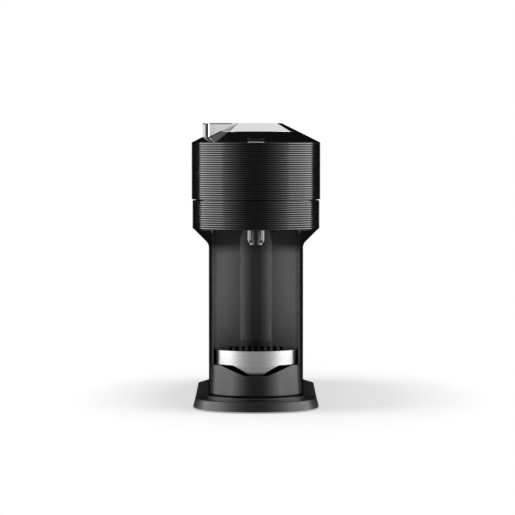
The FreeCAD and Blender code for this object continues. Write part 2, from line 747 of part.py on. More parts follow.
def base_collar():
    """The slanted ring round the foot of the column, with two wings beside a low round front."""
    body = BODY_HALF + SEAT_GAP
    low = FRONT_STEP_Z - FRONT_STEP_T
    top = COLLAR_TOP_Z + COLLAR_RISE
    outer = turned([(0, FOOT_H), (BASE_R, FOOT_H), (CREASE_R, CREASE_Z),
                    (COLLAR_TOP_R, COLLAR_TOP_Z), (body, top), (0, top)])
    inner = turned([(0, FOOT_H), (BASE_R - COLLAR_WALL, FOOT_H), (CREASE_R - COLLAR_WALL, CREASE_Z),
                    (COLLAR_TOP_R - COLLAR_WALL, COLLAR_TOP_Z - COLLAR_WALL),
                    (body, top - COLLAR_WALL), (0, top - COLLAR_WALL)])
    rear = box(-BASE_R, BASE_R, 0, BASE_R, FOOT_H, top)
    step = ring(body, CREASE_R - COLLAR_WALL / 2.0, low, FRONT_STEP_Z)
    lip = ring(body, body + LEDGE_LIP_W, low, PLATFORM_Z)
    lip = rounded(lip, LEDGE_LIP_ROUND, lambda edge: edge.ZMin > FRONT_STEP_Z and edge.XMax > body + SEAT_GAP)
    wing_end = outer.common(box(-BASE_R, BASE_R, -WING_REACH, COLLAR_WALL - WING_REACH, low, top))
    shell = outer.cut(inner).cut(box(-BASE_R, BASE_R, -BASE_R, -WING_REACH, FRONT_STEP_Z, top))
    shell = fuse([shell, wing_end, step.cut(rear).common(outer), lip.cut(rear)])
    shell = shell.cut(box(-body, body, 0, BASE_R, FOOT_H, top))
    shell = shell.cut(post(body, PLATE_TOP_Z, top))
    return shell.cut(box(-body, body, -WING_REACH, 0, PLATFORM_Z, top))


# Column and cup niche

def column_shell():
    """The column in one moulding: outer skin, niche wall and the flare under the head."""
    low = PLATE_TOP_Z
    foot = flare_foot_z()
    front_part = box(-BODY_HALF, BODY_HALF, -BODY_HALF, COLUMN_BACK_V, low, foot)
    outer = column_block(BODY_HALF, COLUMN_BACK_V, low, foot).common(front_part)
    inner = column_block(BODY_HALF - COLUMN_WALL, COLUMN_BACK_V, low, foot)
    lip = box(-BODY_HALF, BODY_HALF, -BODY_HALF, niche_edge_v() + COLUMN_WALL, low, foot)
    skin = outer.cut(inner.cut(lip))
    skin = skin.cut(post(PLATFORM_R + SEAT_GAP, low, PLATFORM_Z))
    liner = niche_block(NICHE_HALF + LINER_WALL, niche_edge_v(), PLATFORM_Z, FLARE_TOP_Z)
    liner = liner.common(fuse([column_block(BODY_HALF, BODY_HALF, PLATFORM_Z, foot), flare_solid(0.0)]))
    cheek = niche_block(NICHE_HALF + LINER_WALL, -DRUM_R, foot, FLARE_TOP_Z).common(flare_solid(0.0))
    body = fuse([skin, liner, cheek, flare_shell()])
    body = body.cut(niche_block(NICHE_HALF, -DRUM_R, low, FLARE_TOP_Z))
    return body.cut(box(-BODY_HALF, BODY_HALF, -BODY_HALF, 0, PLATFORM_Z, DRIP_TOP_Z + RUN_GAP))


def niche_edge_v():
    """How far forward the column's two edges reach beside the niche."""
    return -math.sqrt(BODY_HALF ** 2 - NICHE_HALF ** 2)


def flare_foot_z():
    """Where the column starts to widen under the head."""
    turn = math.radians(FLARE_LEAN_DEG)
    bend_out = FLARE_BEND_R * (1.0 - math.cos(turn))
    bend_up = FLARE_BEND_R * math.sin(turn)
    return FLARE_TOP_Z - (FLARE_TOP_R - BODY_HALF - bend_out) / math.tan(turn) - bend_up


def flare_solid(offset):
    """The solid under a flare whose skin is moved in by offset."""
    foot_r = BODY_HALF - offset
    turn = math.radians(FLARE_LEAN_DEG)
    bend = FLARE_BEND_R + offset
    foot = point(foot_r, 0, flare_foot_z())
    mid = point(foot_r + bend * (1.0 - math.cos(turn / 2.0)), 0, foot.z + bend * math.sin(turn / 2.0))
    end = point(foot_r + bend * (1.0 - math.cos(turn)), 0, foot.z + bend * math.sin(turn))
    rim = point(end.x + (FLARE_TOP_Z - end.z) * math.tan(turn), 0, FLARE_TOP_Z)
    top = point(0, 0, FLARE_TOP_Z)
    bottom = point(0, 0, foot.z)
    edges = [Part.Arc(foot, mid, end).toShape()]
    for start, stop in ((end, rim), (rim, top), (top, bottom), (bottom, foot)):
        edges.append(Part.LineSegment(start, stop).toShape())
    return Part.Face(Part.Wire(edges)).revolve(point(0, 0, 0), point(0, 0, 1), 360.0)


def flare_shell():
    """The widening skin under the head, cut away where the body stands behind it."""
    body = BODY_HALF + SEAT_GAP
    shell = flare_solid(0.0).cut(flare_solid(FLARE_WALL))
    return shell.cut(box(-body, body, COLUMN_BACK_V, DRUM_R, flare_foot_z(), FLARE_TOP_Z))


# Drip base and cup support

def drip_outline(inset, z0, z1):
    """The drip base's plan: the column's round front with a narrower tail in the niche."""
    radius = BODY_HALF - inset
    front = post(radius, z0, z1).common(box(-radius, radius, -radius, -RUN_GAP - inset, z0, z1))
    return fuse([front, niche_block(DRIP_HALF - inset, -NICHE_CHEEK, z0, z1)])


def drip_base():
    """The sliding drip drawer under the cup support, dipped in a V at the front."""
    shape = drip_outline(0.0, DRIP_BOTTOM_Z, DRIP_TOP_Z)
    front_v = DRIP_EDGE_R - BODY_HALF
    shape = rounded(shape, DRIP_EDGE_R,
                    lambda edge: edge.ZMax < DRIP_BOTTOM_Z + RUN_GAP and edge.YMin < front_v)
    shape = shape.cut(drip_outline(TRAY_WALL, DRIP_BOTTOM_Z + TRAY_WALL, DRIP_TOP_Z))
    dip = front_profile([(-DRIP_DIP_OUTER, DRIP_TOP_Z), (-DRIP_DIP_HALF, DRIP_DIP_Z),
                         (DRIP_DIP_HALF, DRIP_DIP_Z), (DRIP_DIP_OUTER, DRIP_TOP_Z)], -BODY_HALF, 0)
    return shape.cut(dip)


def support_outline(inset, z0, z1):
    """The cup support's plan inside its front plate."""
    half = DRIP_HALF - inset
    block = niche_block(half, -BODY_HALF, z0, z1)
    return block.common(post(BAND_R - BAND_T - inset, z0, z1))


def cup_support():
    """The frame under the cup, standing on the drip base's rim."""
    low = DRIP_TOP_Z + RUN_GAP
    frame = support_outline(0.0, low, SUPPORT_TOP_Z + GRID_T)
    well = support_outline(SUPPORT_RIM, low, SUPPORT_TOP_Z)
    seat = support_outline(SUPPORT_RIM / 2.0, SUPPORT_TOP_Z, SUPPORT_TOP_Z + GRID_T)
    web = support_outline(SUPPORT_RIM, low, low + SUPPORT_FLOOR_T)
    drain = post(PLATFORM_WALL_R / 2.0, low, SUPPORT_TOP_Z)
    return fuse([frame.cut(well).cut(seat), web.cut(drain)])


def drip_grid():
    """The slotted grid on the cup support."""
    inset = SUPPORT_RIM / 2.0 + RUN_GAP
    z0 = SUPPORT_TOP_Z + RUN_GAP
    z1 = SUPPORT_TOP_Z + GRID_T
    grid = support_outline(inset, z0, z1)
    reach = BAND_R - inset - GRID_BORDER
    for index in range(-GRID_SLOTS_PER_SIDE, GRID_SLOTS_PER_SIDE + 1):
        x = index * GRID_SLOT_PITCH
        half = math.sqrt(reach ** 2 - x ** 2)
        slot = fuse([box(x - GRID_SLOT_W / 2.0, x + GRID_SLOT_W / 2.0, -half, half, z0, z1),
                     post(GRID_SLOT_W / 2.0, z0, z1, x, -half),
                     post(GRID_SLOT_W / 2.0, z0, z1, x, half)])
        grid = grid.cut(slot)
    return grid


def support_front_plate():
    """The bright band round the cup support's front, with a tongue that leans in below it."""
    top = SUPPORT_TOP_Z + GRID_T
    inner = BAND_R - BAND_T
    skin = ring(inner, BAND_R, BAND_BOTTOM_Z, top)
    plate = skin.common(box(-BAND_HALF, BAND_HALF, -DRUM_R, 0, BAND_BOTTOM_Z, top))
    leaning = turned([(inner - TONGUE_LEAN, DRIP_DIP_Z), (BAND_R - TONGUE_LEAN, DRIP_DIP_Z),
                      (BAND_R, DRIP_TOP_Z), (BAND_R, BAND_BOTTOM_Z), (inner, BAND_BOTTOM_Z),
                      (inner, DRIP_TOP_Z)])
    return fuse([plate, leaning.common(tongue_prism())])


def tongue_prism():
    """The tongue's front outline, with slightly hollow sides, drawn through the machine."""
    mid_half = (TONGUE_TOP_HALF + TONGUE_TIP_HALF) / 2.0 - TONGUE_SAG
    mid_z = (BAND_BOTTOM_Z + DRIP_DIP_Z) / 2.0

    def at(x, z):
        return point(x, -DRUM_R, z)

    left = Part.Arc(at(-TONGUE_TOP_HALF, BAND_BOTTOM_Z), at(-mid_half, mid_z),
                    at(-TONGUE_TIP_HALF, DRIP_DIP_Z)).toShape()
    tip = Part.LineSegment(at(-TONGUE_TIP_HALF, DRIP_DIP_Z), at(TONGUE_TIP_HALF, DRIP_DIP_Z)).toShape()
    right = Part.Arc(at(TONGUE_TIP_HALF, DRIP_DIP_Z), at(mid_half, mid_z),
                     at(TONGUE_TOP_HALF, BAND_BOTTOM_Z)).toShape()
    top = Part.LineSegment(at(TONGUE_TOP_HALF, BAND_BOTTOM_Z), at(-TONGUE_TOP_HALF, BAND_BOTTOM_Z)).toShape()
    return Part.Face(Part.Wire([left, tip, right, top])).extrude(point(0, DRUM_R, 0))


# Lower half of the head

def lower_drum():
    """The fixed ribbed drum: wall, floor, ejector ears and a low rear edge for capsules."""
    rim = [(LOWER_DRUM_R - DRUM_WALL - RIB_DEPTH, LOWER_DRUM_TOP_Z)]
    wall = turned([(LOWER_IN_R, LOWER_DRUM_Z)] + rib_points(LOWER_DRUM_R, LOWER_DRUM_Z, LOWER_RIBS) + rim)
    floor = ring(SPOUT_FLANGE_R + RUN_GAP, LOWER_IN_R, LOWER_DRUM_Z, LOWER_DRUM_Z + DRUM_WALL)
    floor = floor.cut(box(-CHASSIS_HALF, CHASSIS_HALF, CHASSIS_WALL_V, DRUM_R, LOWER_DRUM_Z, FRAME_Z))
    body = fuse([wall, floor])
    exit_z = CHUTE_START_Z
    body = body.cut(box(-CHUTE_HALF, CHUTE_HALF, COLLECTOR_R, DRUM_R, exit_z, LOWER_DRUM_TOP_Z))
    return fuse([body] + ejector_ears())


def ejector_ears():
    """Two upright ears with stub pins for the ejector."""
    inner = EJECT_ARM_X + EJECT_ARM_W / 2.0 + HINGE_SIDE_GAP
    z_pivot = EJECT_Z + EJECT_T / 2.0
    reach = EJECT_EAR_D / 2.0
    ear = box(inner, inner + EJECT_EAR_W, EJECT_PIVOT_V - reach, EJECT_PIVOT_V + reach,
              LOWER_DRUM_Z, z_pivot + EJECT_EYE_R)
    pin = cross_rod(EJECT_PIN_R, EJECT_ARM_X - EJECT_ARM_W / 2.0, inner, EJECT_PIVOT_V, z_pivot)
    ear = fuse([ear, pin])
    return [ear, mirrored(ear)]


def capsule_ejector():
    """The fork that lifts a used capsule by its rim and tips it to the rear."""
    z1 = EJECT_Z + EJECT_T
    z_pivot = EJECT_Z + EJECT_T / 2.0
    outer = EJECT_RING_R + EJECT_RING_W
    loop = ring(EJECT_RING_R, outer, EJECT_Z, z1)
    x0 = EJECT_ARM_X - EJECT_ARM_W / 2.0
    x1 = EJECT_ARM_X + EJECT_ARM_W / 2.0
    arm = fuse([box(x0, x1, 0, EJECT_PIVOT_V, EJECT_Z, z1),
                box(EJECT_RING_R + EJECT_RING_W / 2.0, x1, -EJECT_RING_W, EJECT_RING_W, EJECT_Z, z1),
                cross_rod(EJECT_EYE_R, x0, x1, EJECT_PIVOT_V, z_pivot)])
    arm = arm.cut(cross_rod(EJECT_PIN_R + PIN_GAP, x0, x1, EJECT_PIVOT_V, z_pivot))
    return fuse([loop, arm, mirrored(arm)])


def coffee_collector():
    """The bowl that catches the brewed coffee, with a spoked bush for the spinning holder."""
    inner = COLLECTOR_R - COLLECTOR_WALL
    bowl = turned([(DRAIN_BORE_R, DRAIN_TIP_Z), (DRAIN_R, DRAIN_TIP_Z), (DRAIN_R, COLLECTOR_DRAIN_Z),
                   (COLLECTOR_R, COLLECTOR_EDGE_Z), (COLLECTOR_R, COLLECTOR_TOP_Z), (inner, COLLECTOR_TOP_Z),
                   (inner, COLLECTOR_EDGE_Z + COLLECTOR_WALL),
                   (DRAIN_BORE_R, COLLECTOR_DRAIN_Z + COLLECTOR_WALL)])
    bush = ring(HOLDER_AXLE_R + PIN_GAP, BUSH_R, BUSH_TOP_Z - BUSH_H, BUSH_TOP_Z)
    spoke = box((HOLDER_AXLE_R + BUSH_R) / 2.0, SPOKE_REACH, -SPOKE_W / 2.0, SPOKE_W / 2.0,
                COLLECTOR_DRAIN_Z + COLLECTOR_WALL, BUSH_TOP_Z - SPOKE_W)
    spoke = spoke.cut(post(DRAIN_R, DRAIN_TIP_Z, BUSH_TOP_Z - BUSH_H))
    spokes = [spin(spoke, index * 360.0 / SPOKES) for index in range(SPOKES)]
    return fuse([bowl, bush] + spokes)


def coffee_spout():
    """The short round outlet above the cup."""
    tip = SPOUT_BOTTOM_Z
    bore = DRAIN_R + SEAT_GAP
    top = LOWER_DRUM_Z + DRUM_WALL - SEAT_GAP
    tip_bore = SPOUT_TIP_R - SPOUT_ROUND / 2.0
    seat = top - SPOUT_FLANGE_T
    return turned([(tip_bore, SPOUT_TIP_Z), (SPOUT_TIP_R, SPOUT_TIP_Z), (SPOUT_TIP_R, tip),
                   (SPOUT_R - SPOUT_ROUND / 2.0, tip), (SPOUT_R, tip + SPOUT_ROUND), (SPOUT_R, seat),
                   (SPOUT_FLANGE_R, seat), (SPOUT_FLANGE_R, top), (bore, top),
                   (bore, DRAIN_TIP_Z - SEAT_GAP), (tip_bore, DRAIN_TIP_Z - SPOUT_ROUND)])


def capsule_holder():
    """The spinning cup that a capsule hangs in by its rim."""
    low = BUSH_TOP_Z + RUN_GAP
    floor = low + HOLDER_WALL
    rim_low = HOLDER_RIM_Z - HOLDER_RIM_T
    axle_end = BUSH_TOP_Z - BUSH_H
    return turned([(0, axle_end), (HOLDER_AXLE_R, axle_end), (HOLDER_AXLE_R, low),
                   (HOLDER_FLOOR_R + HOLDER_WALL / 2.0, low), (HOLDER_WAIST_R + HOLDER_WALL, HOLDER_WAIST_Z),
                   (HOLDER_RIM_INNER_R + HOLDER_WALL / 2.0, rim_low), (HOLDER_RIM_R, rim_low),
                   (HOLDER_RIM_R, HOLDER_RIM_Z), (HOLDER_RIM_INNER_R, HOLDER_RIM_Z),
                   (HOLDER_WAIST_R, HOLDER_WAIST_Z + HOLDER_WALL / 2.0), (HOLDER_FLOOR_R, floor), (0, floor)])


def code_reader():
    """The optical reader that looks up at the capsule's rim."""
    slope = (COLLECTOR_EDGE_Z - COLLECTOR_DRAIN_Z) / (COLLECTOR_R - DRAIN_R)
    outer_v = READER_V - READER_D / 2.0
    foot_z = COLLECTOR_DRAIN_Z + COLLECTOR_WALL + slope * (-outer_v - DRAIN_R) + SEAT_GAP
    case = box(-READER_W / 2.0, READER_W / 2.0, outer_v, READER_V + READER_D / 2.0, foot_z, READER_TOP_Z)
    lens = cross_rod(READER_D / 4.0, -READER_W / 4.0, READER_W / 4.0, READER_V, READER_TOP_Z)
    return fuse([case, lens])


def lock_claws():
    """Three hooks on the lower drum that the lid's lock ring turns under."""
    top = CLAW_HOOK_Z + CLAW_HOOK_T
    half = CLAW_W / 2.0
    back_r = CLAW_POST_R + CLAW_POST_T
    foot_r = LOWER_IN_R - SEAT_GAP
    claw = fuse([box(CLAW_POST_R, back_r, -half, half, LOWER_DRUM_Z + DRUM_WALL, top),
                 box(CLAW_HOOK_R, back_r, -half, half, CLAW_HOOK_Z, top),
                 box(CLAW_POST_R, foot_r - half, -half, half, LOWER_DRUM_Z + DRUM_WALL, CLAW_FOOT_Z)])
    return group([spin(claw, azimuth) for azimuth in CLAW_AZIMUTHS])


# Main hinge

def hinge_bracket():
    """Two fixed brackets on the chassis whose cheeks hold the lid's hinge pins."""
    cheeks = []
    for x in (HINGE_INNER_X, HINGE_OUTER_X):
        cheeks.append(box(x, x + HINGE_CHEEK_W, BRACKET_FRONT_V, BRACKET_BACK_V, BRACKET_BOTTOM_Z, HINGE_Z))
        cheeks.append(cross_rod(KNUCKLE_R, x, x + HINGE_CHEEK_W, HINGE_V, HINGE_Z))
    bridge = box(HINGE_INNER_X, HINGE_END_X, BRACKET_FRONT_V, BRACKET_BACK_V,
                 BRACKET_BOTTOM_Z, BRACKET_BRIDGE_Z)
    shape = fuse(cheeks + [bridge])
    shape = shape.cut(cross_rod(HINGE_PIN_R, HINGE_INNER_X, HINGE_END_X, HINGE_V, HINGE_Z))
    nipple = post(HOSE_BORE_R, BRACKET_BOTTOM_Z - NIPPLE_H, BRACKET_BOTTOM_Z,
                  hot_nipple_x(), heater_port(1).y)
    return group([fuse([shape, nipple]), mirrored(shape)])


def hinge_pins():
    """The two pins of the lid's hinge."""
    pin = cross_rod(HINGE_PIN_R, HINGE_INNER_X, HINGE_END_X, HINGE_V, HINGE_Z)
    return group([pin, mirrored(pin)])


# Lid

def lid_shell():
    """The opening ribbed drum, with its inner ledge, front lip and hinge lugs."""
    wall = turned([(LID_IN_R, LID_Z)] + rib_points(DRUM_R, LID_Z, UPPER_RIBS) + [(LID_IN_R, LID_TOP_Z)])
    ledge = ring(LID_IN_R - LEDGE_W, LID_IN_R, FRAME_TOP_Z, FRAME_TOP_Z + LEDGE_H)
    lugs = []
    for x0, x1 in ((HINGE_LUG_X, HINGE_LUG_X + HINGE_LUG_W), (-HINGE_LUG_X - HINGE_LUG_W, -HINGE_LUG_X)):
        lug = fuse([box(x0, x1, 0, HINGE_V, FRAME_Z, HINGE_Z + KNUCKLE_R),
                    cross_rod(KNUCKLE_R, x0, x1, HINGE_V, HINGE_Z)])
        lug = lug.cut(post(LID_IN_R, LID_Z, LID_TOP_Z))
        lugs.append(lug.cut(cross_rod(HINGE_PIN_R + PIN_GAP, x0, x1, HINGE_V, HINGE_Z)))
    return fuse([wall, ledge, lid_skirt()] + lugs)


def lid_skirt():
    """A half-round lip inside the front of the split, so that nothing is seen through it."""
    outer = LOWER_IN_R - SKIRT_GAP
    top = FRAME_Z - SEAT_GAP
    seat = ring(outer - SKIRT_T, LID_IN_R, LID_Z, top)
    skirt = fuse([seat, ring(outer - SKIRT_T, outer, LID_Z - SKIRT_DROP, top)])
    return skirt.common(box(-DRUM_R, DRUM_R, -DRUM_R, 0, LID_Z - SKIRT_DROP, top))


def lid_frame():
    """The lid's floor, slotted for the claws and open round the injector."""
    frame = ring(INJECTOR_HOLE_R, LID_IN_R - SEAT_GAP, FRAME_Z, FRAME_TOP_Z)
    half = CLAW_W / 2.0 + CLAW_SLOT_GAP
    slot = box(CLAW_HOOK_R - CLAW_SLOT_GAP, CLAW_POST_R + CLAW_POST_T + CLAW_SLOT_GAP, -half, half,
               FRAME_Z, FRAME_TOP_Z)
    for azimuth in CLAW_AZIMUTHS:
        frame = frame.cut(spin(slot, azimuth))
    end = polar(LID_HOSE_REACH, LID_HOSE_AZIMUTH, FRAME_TOP_Z)
    nipple = post(HOSE_BORE_R, FRAME_TOP_Z, FRAME_TOP_Z + NIPPLE_H, end.x, end.y)
    return fuse([frame, nipple])


def lid_cap():
    """The glossy cone on top of the lid, with its hub seat and button opening."""
    seat_low = HUB_SEAT_Z - CAP_WALL
    rim_r = DRUM_R - CAP_WALL
    skin = turned([(HUB_BORE_R, seat_low), (HUB_SEAT_R - CAP_WALL / 2.0, seat_low),
                   (rim_r - CAP_WALL, LID_TOP_Z), (DRUM_R, LID_TOP_Z), (HUB_SEAT_R, cone_z(HUB_SEAT_R)),
                   (HUB_SEAT_R, HUB_SEAT_Z), (HUB_BORE_R, HUB_SEAT_Z)])
    hole = on_slope(oval(BUTTON_HALF_W + LENS_W + 2.0 * RUN_GAP, BUTTON_HALF_H + LENS_W + 2.0 * RUN_GAP,
                         -2.0 * CAP_WALL, BUTTON_PROUD))
    posts = []
    for side in (-1, 1):
        x = side * (BOARD_HALF_W - BOARD_POST_W / 2.0)
        posts.append(on_slope(box(x - BOARD_POST_W / 2.0, x + BOARD_POST_W / 2.0, -BOARD_HALF_H, BOARD_HALF_H,
                                  -BOARD_DEPTH, -CAP_WALL / 2.0)))
    return fuse([skin.cut(hole)] + posts)


def injector_plate():
    """The spinning plate that pierces the capsule: a central needle and a ring of spikes."""
    top = INJECTOR_Z + INJECTOR_T
    plate = post(INJECTOR_R, INJECTOR_Z, top)
    needle = Part.makeCone(0.0, NEEDLE_R, NEEDLE_LEN, point(0, 0, INJECTOR_Z - NEEDLE_LEN))
    spikes = []
    for index in range(SPIKES):
        spike = polar(SPIKE_CIRCLE_R, index * 360.0 / SPIKES, INJECTOR_Z - SPIKE_LEN)
        spikes.append(Part.makeCone(0.0, SPIKE_R, SPIKE_LEN, spike))
    return fuse([plate, needle] + spikes)


def injector_shaft():
    """The hollow shaft that carries water down to the needle."""
    low = INJECTOR_Z + INJECTOR_T
    return ring(SHAFT_BORE_R, SHAFT_R, low, SHAFT_TOP_Z)


def motor_rotor():
    """The motor's rotor on the injector shaft."""
    return ring(SHAFT_R, ROTOR_R, ROTOR_Z, ROTOR_Z + ROTOR_H)


def motor_stator():
    """The slotted stator round the rotor."""
    bore = ROTOR_R + AIR_GAP
    top = STATOR_Z + STATOR_H
    stator = ring(bore, STATOR_R, STATOR_Z, top)
    slot = box(bore - AIR_GAP, bore + STATOR_SLOT_D, -STATOR_SLOT_W / 2.0, STATOR_SLOT_W / 2.0, STATOR_Z, top)
    for index in range(STATOR_SLOTS):
        stator = stator.cut(spin(slot, index * 360.0 / STATOR_SLOTS))
    return stator


def motor_housing():
    """The can round the motor, with the two bearing seats."""
    outer = INJECTOR_HOLE_R + MOTOR_WALL
    low = FRAME_TOP_Z
    seat = BEARING_R + MOTOR_WALL
    can = ring(STATOR_R, outer, low, MOTOR_TOP_Z)
    floor = ring(BEARING_R, STATOR_R, BEARING_LOW_Z, BEARING_LOW_Z + MOTOR_WALL)
    roof = ring(BEARING_R, STATOR_R, MOTOR_TOP_Z - MOTOR_WALL, MOTOR_TOP_Z)
    low_seat = ring(BEARING_R, seat, BEARING_LOW_Z, BEARING_LOW_Z + BEARING_H)
    high_seat = ring(BEARING_R, seat, BEARING_HIGH_Z, MOTOR_TOP_Z)
    return fuse([can, floor, roof, low_seat, high_seat])


def shaft_bearings():
    """The two bearings of the injector shaft."""
    bore = SHAFT_R + PIN_GAP
    rings = [ring(bore, BEARING_R, z, z + BEARING_H) for z in (BEARING_LOW_Z, BEARING_HIGH_Z)]
    return group(rings)


def water_feed():
    """The cap on the motor that feeds water into the hollow shaft."""
    seat = BEARING_R + MOTOR_WALL
    dome = fuse([post(seat, MOTOR_TOP_Z, MOTOR_TOP_Z + MOTOR_WALL), post(FEED_R, MOTOR_TOP_Z, FEED_TOP_Z)])
    tube = post(FEED_TUBE_R, MOTOR_TOP_Z - FEED_TUBE_LEN, MOTOR_TOP_Z)
    port_end = polar(FEED_R + NIPPLE_H, LID_HOSE_AZIMUTH, LID_HOSE_Z)
    port = rod(HOSE_BORE_R, point(0, 0, LID_HOSE_Z), port_end)
    return fuse([dome, tube, port])


def lid_hose():
    """The water hose inside the lid, from its rear floor nipple to the feed."""
    start = polar(FEED_R + RUN_GAP, LID_HOSE_AZIMUTH, LID_HOSE_Z)
    corner = polar(LID_HOSE_REACH, LID_HOSE_AZIMUTH, LID_HOSE_Z)
    end = polar(LID_HOSE_REACH, LID_HOSE_AZIMUTH, FRAME_TOP_Z + RUN_GAP)
    return hose([start, corner, end])


# Locking lever and lock

def hub_solid(offset):
    """The lever hub's outline, moved in by offset."""
    low = HUB_SEAT_Z + HUB_LIFT
    edge_r = HUB_R - offset
    top = HUB_TOP_Z - offset
    return turned([(0, low), (edge_r, low), (edge_r, HUB_EDGE_Z), (HUB_TOP_R - offset, HUB_SHOULDER_Z),
                   (HUB_SHOULDER_R - offset, top), (0, top)])


def lever_trim():
    """The bright skin over the hub's front, in one piece with the finger fin."""
    low = HUB_SEAT_Z + HUB_LIFT
    profile = [(HUB_R, low), (HUB_R, HUB_EDGE_Z), (HUB_TOP_R, HUB_SHOULDER_Z), (HUB_SHOULDER_R, HUB_TOP_Z),
               (TRIM_INNER_R, HUB_TOP_Z), (TRIM_INNER_R, HUB_TOP_Z - TRIM_T),
               (HUB_SHOULDER_R - TRIM_T / 2.0, HUB_TOP_Z - TRIM_T),
               (HUB_TOP_R - TRIM_T / 2.0, HUB_SHOULDER_Z - TRIM_T),
               (HUB_R - TRIM_T, HUB_EDGE_Z - TRIM_T / 2.0), (HUB_R - TRIM_T, low)]
    skin = spin(turned(profile, TRIM_SWEEP_DEG), TRIM_START_DEG)
    return fuse([skin, lever_fin()])


def lever_fin():
    """The finger fin: a tapered blade that follows the cap's slope, turned a little to the front."""
    side_x = -FIN_TIP_X + FIN_TIP_BULGE
    corners = [point(-FIN_ROOT_X, -FIN_ROOT_HALF, 0), point(side_x, -FIN_TIP_HALF, 0),
               point(-FIN_TIP_X, 0, 0), point(side_x, FIN_TIP_HALF, 0),
               point(-FIN_ROOT_X, FIN_ROOT_HALF, 0)]
    edges = [Part.LineSegment(corners[0], corners[1]).toShape(),
             Part.Arc(corners[1], corners[2], corners[3]).toShape(),
             Part.LineSegment(corners[3], corners[4]).toShape(),
             Part.LineSegment(corners[4], corners[0]).toShape()]
    blade = Part.Face(Part.Wire(edges)).extrude(point(0, 0, HUB_TOP_Z))
    under = turned([(0, 0), (DRUM_R, 0), (DRUM_R, LID_TOP_Z + FIN_LIFT),
                    (HUB_R, cone_z(HUB_R) + FIN_LIFT), (0, cone_z(HUB_R) + FIN_LIFT)])
    blade = blade.cut(under)
    x0 = -FIN_GROOVE_X
    x1 = x0 + FIN_GROOVE_W
    groove = box(x0, x1, -FIN_ROOT_HALF, FIN_ROOT_HALF, LID_TOP_Z, HUB_TOP_Z)
    core_half = FIN_TIP_HALF - FIN_GROOVE_D
    core = box(x0, x1, -core_half, core_half, LID_TOP_Z, HUB_TOP_Z - FIN_GROOVE_D)
    return spin(blade.cut(groove.cut(core)), FIN_FORWARD_DEG)


def lever_hub():
    """The black core of the lever's hub, let in under the bright trim."""
    hub = hub_solid(0.0).cut(lever_trim())
    hollow = ring(HUB_BORE_R + HUB_WALL, HUB_TOP_R - HUB_WALL, HUB_SEAT_Z, HUB_SHOULDER_Z - HUB_WALL)
    return hub.cut(hollow)


def lever_spider():
    """The carrier that takes the lever's turn down to the lock ring on three arms."""
    disc = ring(SPIDER_TUBE_BORE_R, SPIDER_R, SPIDER_Z, SPIDER_Z + SPIDER_T)
    tube = ring(SPIDER_TUBE_BORE_R, SPIDER_TUBE_R, SPIDER_Z, HUB_SEAT_Z + HUB_LIFT)
    low = FRAME_TOP_Z + LOCK_RING_LIFT + LOCK_RING_T
    arm = box(ARM_INNER_R, SPIDER_R - SEAT_GAP, -ARM_W / 2.0, ARM_W / 2.0, low, SPIDER_Z + SPIDER_T)
    return fuse([disc, tube] + [spin(arm, azimuth) for azimuth in ARM_AZIMUTHS])


def lock_ring():
    """The ring on the lid's floor whose lugs turn under the claws."""
    z0 = FRAME_TOP_Z + LOCK_RING_LIFT
    z1 = z0 + LOCK_RING_T
    inner = ARM_INNER_R - SEAT_GAP
    body = ring(inner, LOCK_RING_R, z0, z1)
    sector = turned([(inner, z0), (LOCK_LUG_R, z0), (LOCK_LUG_R, z1), (inner, z1)], LOCK_LUG_DEG)
    lugs = [spin(sector, azimuth - LOCK_TURN_DEG - LOCK_LUG_DEG / 2.0) for azimuth in CLAW_AZIMUTHS]
    return fuse([body] + lugs)


# Brew button on the cap's front slope

def on_slope(shape):
    """A piece set on the cap's front slope: its x across, y up the slope, z out of it."""
    seat = point(0, BUTTON_RADIUS_V, cone_z(-BUTTON_RADIUS_V))
    tilt = FreeCAD.Rotation(point(1, 0, 0), CAP_ANGLE)
    placed = shape.copy()
    placed.Placement = FreeCAD.Placement(seat, tilt).multiply(shape.Placement)
    return placed


def oval(half_w, half_h, z0, z1):
    """An upright prism with an elliptical section."""
    ellipse = Part.Ellipse(point(0, 0, z0), half_w, half_h).toShape()
    return Part.Face(Part.Wire([ellipse])).extrude(point(0, 0, z1 - z0))


def brew_button():
    """The oval push button with its stem."""
    key = oval(BUTTON_HALF_W, BUTTON_HALF_H, -BUTTON_DEPTH, BUTTON_PROUD)
    stem = post(BUTTON_STEM_R, -BUTTON_STEM_END, -BUTTON_DEPTH)
    return on_slope(fuse([key, stem]))


def status_light():
    """The oval light ring round the button."""
    gap = RUN_GAP
    outer = oval(BUTTON_HALF_W + gap + LENS_W, BUTTON_HALF_H + gap + LENS_W, -CAP_WALL, LENS_PROUD)
    inner = oval(BUTTON_HALF_W + gap, BUTTON_HALF_H + gap, -CAP_WALL, LENS_PROUD)
    return on_slope(outer.cut(inner))


def button_spring():
    """The return spring round the button's stem, as one sleeve of its outer size."""
    inner = BUTTON_STEM_R + BUTTON_SPRING_GAP
    return on_slope(ring(inner, BUTTON_SPRING_R, -BOARD_DEPTH, -BUTTON_DEPTH - BUTTON_SPRING_GAP))


def button_board():
    """The small circuit board under the button."""
    return on_slope(box(-BOARD_HALF_W, BOARD_HALF_W, -BOARD_HALF_H, BOARD_HALF_H,
                        -BOARD_DEPTH - BOARD_T, -BOARD_DEPTH))


# Rear body

